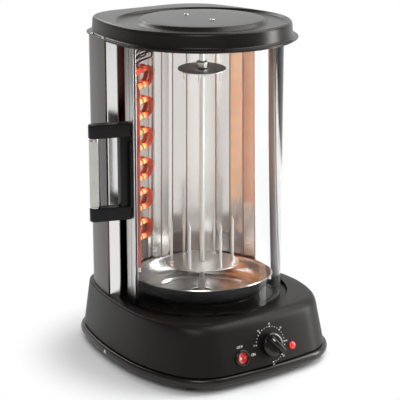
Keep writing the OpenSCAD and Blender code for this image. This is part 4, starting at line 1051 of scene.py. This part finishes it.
class GRILL_OT_spit(PieceOperator, bpy.types.Operator):
    """Build the spit rod, its prong plate, clamp plate and thumb nut"""

    bl_idname = "grill.spit"
    bl_label = "Spit"

    def build(self, s):
        foot, top, rod = s.deck_z + 6.6, s.deck_z + s.chamber_h, s.rod_r
        bm = turned(bmesh.new(), [(0, foot), (4.8, foot), (4.8, foot + 12.5), (rod, foot + 14), (rod, top - 7),
                                  (3, top - 6.4), (3, top + 8), (0, top + 8)], 48, soft=0.5)
        piece("rod", bm, "bright", "spit", ["spit_rod"], 40)

        def around(count, r, z):
            """Places spread evenly round the rod."""
            for i in range(count):
                a = math.pi * (2 * i + 1) / count
                yield shift(r * cos(a), r * sin(a), z)

        z, r, sheet = s.deck_z + s.plate_z, s.plate_r, 1.5
        bm = turned(bmesh.new(), [(rod, z - 10), (8, z - 10), (8, z), (r, z), (r, z + sheet), (8, z + sheet),
                                  (7, z + 2), (rod, z + 2), (rod, z - 10)], soft=0.5)
        for where in around(6, r - 9, z):
            turned(bm, [(0, -0.8), (3.2, -0.8), (3.2, 0), (3.2, 1.5), (3, 2.3), (2, 2.6), (2, s.prong_len - 9),
                        (0.2, s.prong_len), (0, s.prong_len)], 24, where, 0.6)
        turned(bm, [(0, 0), (2, 0), (2, 11), (4, 11), (4, 14), (0, 14)], 24, shift(z=z - 5) @ turn(90, "Y"))
        piece("prong_plate_turned", bm, "bright", "spit", ["prong_plate"], 35)

        z, r = s.deck_z + s.clamp_z, s.clamp_r
        bm = turned(bmesh.new(), [(rod, z - 8), (7, z - 8), (7, z), (r, z), (r, z + sheet), (rod, z + sheet),
                                  (rod, z - 8)], soft=0.5)
        for where in around(4, r - 8, z):
            turned(bm, [(0, -16), (0.3, -16), (1.5, -10), (1.5, 0.5), (0, 0.5)], 20, where)
        piece("clamp_plate_turned", bm, "bright", "spit", ["clamp_plate"], 35)

        bm = turned(bmesh.new(), [(rod, 0), (6.4, 0), (7.3, 0.9), (7.3, 8.1), (6.4, 9), (rod, 9), (rod, 0)], soft=0.3)
        for v in bm.verts:
            if math.hypot(v.co.x, v.co.y) > 6.8:
                knurl = 1 - 0.035 * (0.5 + 0.5 * cos(24 * math.atan2(v.co.y, v.co.x)))
                v.co.x, v.co.y = v.co.x * knurl, v.co.y * knurl
        piece("knurled_nut", bm, "nut", "spit", ["thumb_nut"], 30, shift(z=z + sheet))


class GRILL_OT_bowl(PieceOperator, bpy.types.Operator):
    """Build the drip bowl: black enamel outside, polished inside"""

    bl_idname = "grill.bowl"
    bl_label = "Drip bowl"

    def build(self, s):
        r, h, foot, t = s.bowl_r, s.bowl_h, s.bowl_foot_r, s.bowl_t
        flare = [(foot + 1 + (r - 3.4 - foot) * sin(a), 3.6 + (h - 6.4) * (1 - cos(a)) / (1 - cos(radians(80))))
                 for a in turns(0, 81, 5)]
        line = ([(14, 2.6), (14.4, 0.5), (15.5, 0), (foot - 2, 0), (foot - 0.6, 0.6), (foot, 2)] + flare
                + [(r - 1.2, h - 1.6), (r, h - 1)])
        points = [Vector(p) for p in line]
        back = []
        for i, p in enumerate(points):
            d = (points[min(i + 1, len(points) - 1)] - p).normalized() + (p - points[max(i - 1, 0)]).normalized()
            d.normalize()
            back.append((p.x - t * d.y, p.y + t * d.x))
        outline = line + back[::-1] + [line[0]]
        groups = [int(i >= len(line) - 2) for i in range(len(outline) - 1)]
        bm = turned(bmesh.new(), outline, 128, shift(z=s.deck_z + 0.3), groups=groups)
        piece("bowl", bm, ("bowl_out", "bowl_in"), "bowl", ["drip_bowl"], 40)


class GRILL_OT_controls(PieceOperator, bpy.types.Operator):
    """Build the timer knob, the rocker switch and the lamp"""

    bl_idname = "grill.controls"
    bl_label = "Controls"

    def build(self, s):
        plan = BasePlan(s)
        knob, pointer = plan.panel(s.knob_x, s.knob_z), turn(40)
        r, h = s.knob_r, s.knob_h
        bm = turned(bmesh.new(), softened([(0, 1), (r, 1), (r - 0.2, h - 9), (r - 4.5, h - 7), (0, h - 7.2)], 2.6, 6))
        before = set(bm.verts)
        bmesh.ops.create_cube(bm, size=1)
        for v in since(before, bm):
            low = v.co.z < 0
            v.co = (v.co.x * (11 if low else 6.6), v.co.y * 2 * (r - 1.5), h - 10 if low else h)
        bevel(bm, edges_of(since(before, bm)), 1.1, 4)
        move(bm, pointer, since(before, bm))
        piece("knob", bm, "knob", "timer", ["timer_knob"], 40, knob)
        bm = block(bmesh.new(), (0.9, 5, 0.16), pointer @ shift(0, r - 6.5, h + 0.02), 0.05, 1)
        piece("knob_pointer", bm, "ink", "timer", (), 40, knob)

        switch = plan.panel(-s.switch_x, s.switch_z) @ shift(z=0.12)
        bm = turned(bmesh.new(), [(7.9, -9), (9, -9), (9, 0), (10.8, 0), (10.6, 1.2), (9.6, 2.1), (8.2, 2.0),
                                  (7.9, 1.4), (7.9, -9)], 72, soft=0.5)
        piece("switch_bezel", bm, "knob", "grill", ["switch_body"], 40, switch)
        tilt = switch @ shift(z=-1.8) @ turn(8, "Y")
        bm = turned(bmesh.new(), [(0, -4), (7.2, -4), (7.25, 4.1), (0, 4.1)], 72, soft=0.5)
        hollow = turned(bmesh.new(), [(0, -30), (36, -30), (36, 30), (0, 30)], 160, shift(z=38.4) @ turn(90, "X"))
        piece("rocker", cut_out(bm, hollow), "rocker", "switch", ["switch_rocker"], 40, tilt)
        bm = turned(bmesh.new(), [(1.0, 0), (1.5, 0), (1.5, 0.12), (1.0, 0.12), (1.0, 0)], 32,
                    shift(-3.4, 0, 2.56) @ turn(5.4, "Y"))
        block(bm, (0.5, 2.6, 0.12), shift(3.4, 0, 2.62) @ turn(-5.4, "Y"))
        piece("rocker_marks", bm, "ink", "switch", (), 40, tilt)

        bm = turned(bmesh.new(), [(0, -8), (3.9, -8), (3.9, 0), (5, 0)]
                    + [(5 * cos(a), 0.8 + 2.4 * sin(a)) for a in turns(0, 91, 9)], 64)
        piece("lamp_lens", bm, "lamp", "grill", ["indicator_lamp"], 50,
              plan.panel(s.lamp_x, s.lamp_z) @ shift(z=0.1))


class GRILL_OT_print(PieceOperator, bpy.types.Operator):
    """Print the dial, its numbers and the switch words on the panel"""

    bl_idname = "grill.print"
    bl_label = "Panel print"

    def build(self, s):
        plan = BasePlan(s)
        bm = bmesh.new()
        dial_r, numbers_r = s.knob_r + 7.2, s.knob_r + 10.6
        first_deg, sweep_deg, marks, numbered = 172, 262, 24, 4

        def on_dial(r, degrees):
            """A place on a circle round the knob."""
            a = radians(degrees)
            return self.spot(plan, s.knob_x + r * cos(a), s.knob_z + r * sin(a) * cos(plan.tilt))

        for i in range(marks + 1):
            degrees = first_deg - sweep_deg * i / marks
            size = 0.55 if i % numbered else 0.85
            dot = turned(bmesh.new(), [(0, 0), (size, 0), (size, 0.05), (0, 0.05)], 16)
            merge(bm, dot, on_dial(dial_r, degrees))
            if i % numbered == 0:
                self.word(bm, str(i * 5 // 2), 3.2, on_dial(numbers_r, degrees))
        size = 4.6
        for text, x, z in (("OFF", -s.switch_x - 1, s.switch_z + 14), ("ON", -s.switch_x + 17.5, s.switch_z + 1)):
            for k, letter in enumerate(text):
                offset = (k - (len(text) - 1) / 2) * size * 0.68
                self.word(bm, letter, size, self.spot(plan, x + offset, z))
        piece("panel_print", bm, "ink", "grill", (), 60)

    def spot(self, plan, x, z):
        """The panel's frame at a point, a print's thickness in front of the panel."""
        return plan.panel(x, z) @ shift(z=0.07)

    def word(self, bm, text, size, place):
        """Adds raised lettering."""
        curve = bpy.data.curves.new("word", "FONT")
        curve.body, curve.size, curve.extrude, curve.resolution_u = text, size, 0.02, 3
        curve.align_x, curve.align_y = "CENTER", "CENTER"
        letters = evaluated(new_object("word", curve))
        bpy.data.curves.remove(curve)
        outward(letters)
        merge(bm, letters, place)


class GRILL_OT_dress(PieceOperator, bpy.types.Operator):
    """Give the CAD pieces that stay in view their finishes"""

    bl_idname = "grill.dress"
    bl_label = "Finishes of the CAD pieces"

    wear = {
        "rubber": ("rubber_feet", "cord_gland", "side_glass_seals"),
        "screw": ("base_screws", "motor_bracket", "motor_screws", "rim_tabs", "handle_screws", "timer_spindle"),
        "can": ("drive_motor",),
        "bronze": ("shaft_bush", "top_bush"),
        "case": ("timer_unit",),
        "sheet": ("reflector", "wire_channel"),
        "ceramic": ("heater_leads",),
        "clip": ("heater_clips",),
        "enamel": ("top_frame",),
        "bright": ("motor_shaft", "drive_hub"),
        "handle": ("door_shoes",),
    }

    def build(self, s):
        for key, nodes in self.wear.items():
            for node in nodes:
                slots = CAD[node].data.materials
                slots.clear()
                slots.append(FINISHES[key])


class GRILL_OT_stage(PieceOperator, bpy.types.Operator):
    """Set the floor, the soft studio light and the camera"""

    bl_idname = "grill.stage"
    bl_label = "Stage"

    def build(self, s):
        scene = bpy.context.scene
        scene.view_settings.view_transform = "Standard"
        self.world(scene)
        self.floor()
        for name, where, aim, size, power in (
                ("key", (-1.3, -1.5, 1.9), (0, 0, 0.2), (1.2, 1.2), 22),
                ("right_soft", (1.42, -0.84, 0.55), (0, 0, 0.2), (0.45, 1.1), 20),
                ("top_soft", (1.0, -0.35, 1.75), (0, 0, 0.3), (1.5, 1.3), 22),
                ("rim", (0.1, 1.7, 1.5), (0, 0, 0.25), (0.9, 0.9), 9)):
            lamp = bpy.data.lights.new(name, "AREA")
            lamp.shape, lamp.size, lamp.size_y, lamp.energy = "RECTANGLE", *size, power
            obj = new_object(name, lamp)
            obj.location = where
            obj.rotation_euler = (Vector(aim) - Vector(where)).to_track_quat("-Z", "Y").to_euler()
        lens = bpy.data.cameras.new("camera")
        lens.lens, lens.sensor_width, lens.sensor_fit = 130.2, 36, "HORIZONTAL"
        camera = scene.camera = new_object("camera", lens)
        camera.location = (-1.1104, -1.4964, 0.7314)
        camera.rotation_euler = (radians(74.32), 0, radians(-36.5))

    def world(self, scene):
        """A plain grey room. What is seen of it is white, though reflections fade to a dim front of the room."""
        world = bpy.data.worlds.new("studio")
        scene.world = world
        world.use_nodes = True
        sky = Nodes(world.node_tree)
        background = sky.tree.nodes["Background"]
        where = sky.add("ShaderNodeTexCoord")
        behind = sky.add("ShaderNodeVectorMath", {"operation": "DOT_PRODUCT"}, {0: where, 1: (0.6, 0.8, 0)}, out=1)
        reflected = sky.mix(behind.above(0.6, 0.3), (0.2, 0.19, 0.185), (1, 1, 1))
        bounces = sky.add("ShaderNodeLightPath", out="Glossy Depth")
        seen = sky.mix(bounces.math("MINIMUM", 1), (1, 1, 1), reflected)
        sky.link(background.inputs[0], sky.mix(sky.looked_at(), (0.42, 0.42, 0.43), seen))

    def floor(self):
        """A pale floor that keeps the shadow near the grill and turns pure white further out."""
        bm = bmesh.new()
        bmesh.ops.create_grid(bm, x_segments=1, y_segments=1, size=4)
        mesh = new_mesh("floor", bm)
        finish = Finish("pale_floor", Roughness=0.8)
        finish.feed("Base Color", finish.mix(finish.noise(3, 2), (0.87, 0.87, 0.87), (0.89, 0.89, 0.89)))
        away = finish.add("ShaderNodeVectorMath", {"operation": "LENGTH"}, {0: finish.place()}, out=1)
        white = finish.add("ShaderNodeEmission", None, {"Strength": 1.0})
        out = finish.tree.nodes["Material Output"]
        finish.link(out.inputs["Surface"], finish.add("ShaderNodeMixShader", None, {
            0: away.above(0.21, 0.05) * finish.looked_at(), 1: finish.shader.outputs[0], 2: white}))
        mesh.materials.append(finish.material)
        new_object("floor", mesh)


class GRILL_PT_panel(bpy.types.Panel):
    """Lists the operators and the sizes."""

    bl_idname = "GRILL_PT_panel"
    bl_label = "Skewer grill"
    bl_space_type = "VIEW_3D"
    bl_region_type = "UI"
    bl_category = "Grill"

    def draw(self, context):
        for operator in OPERATORS:
            self.layout.operator(operator.bl_idname)
        for group in (context.scene.grill_sizes, context.scene.grill_finishes):
            box = self.layout.box()
            for prop in group.bl_rna.properties:
                if prop.identifier not in ("rna_type", "name"):
                    box.prop(group, prop.identifier)


OPERATORS = (GRILL_OT_stage, GRILL_OT_base, GRILL_OT_lid, GRILL_OT_housing, GRILL_OT_heater, GRILL_OT_door,
             GRILL_OT_spit, GRILL_OT_bowl, GRILL_OT_controls, GRILL_OT_print, GRILL_OT_dress)
CLASSES = (GRILL_PG_sizes, GRILL_PG_finishes, *OPERATORS, GRILL_PT_panel)
FINISHES = {}


def register():
    for cls in CLASSES:
        bpy.utils.register_class(cls)
    bpy.types.Scene.grill_sizes = bpy.props.PointerProperty(type=GRILL_PG_sizes)
    bpy.types.Scene.grill_finishes = bpy.props.PointerProperty(type=GRILL_PG_finishes)


def unregister():
    del bpy.types.Scene.grill_sizes, bpy.types.Scene.grill_finishes
    for cls in reversed(CLASSES):
        bpy.utils.unregister_class(cls)


def main():
    register()
    FINISHES.update(make_finishes())
    for operator in OPERATORS:
        group, name = operator.bl_idname.split(".")
        getattr(getattr(bpy.ops, group), name)()


if __name__ == "__main__":
    main()
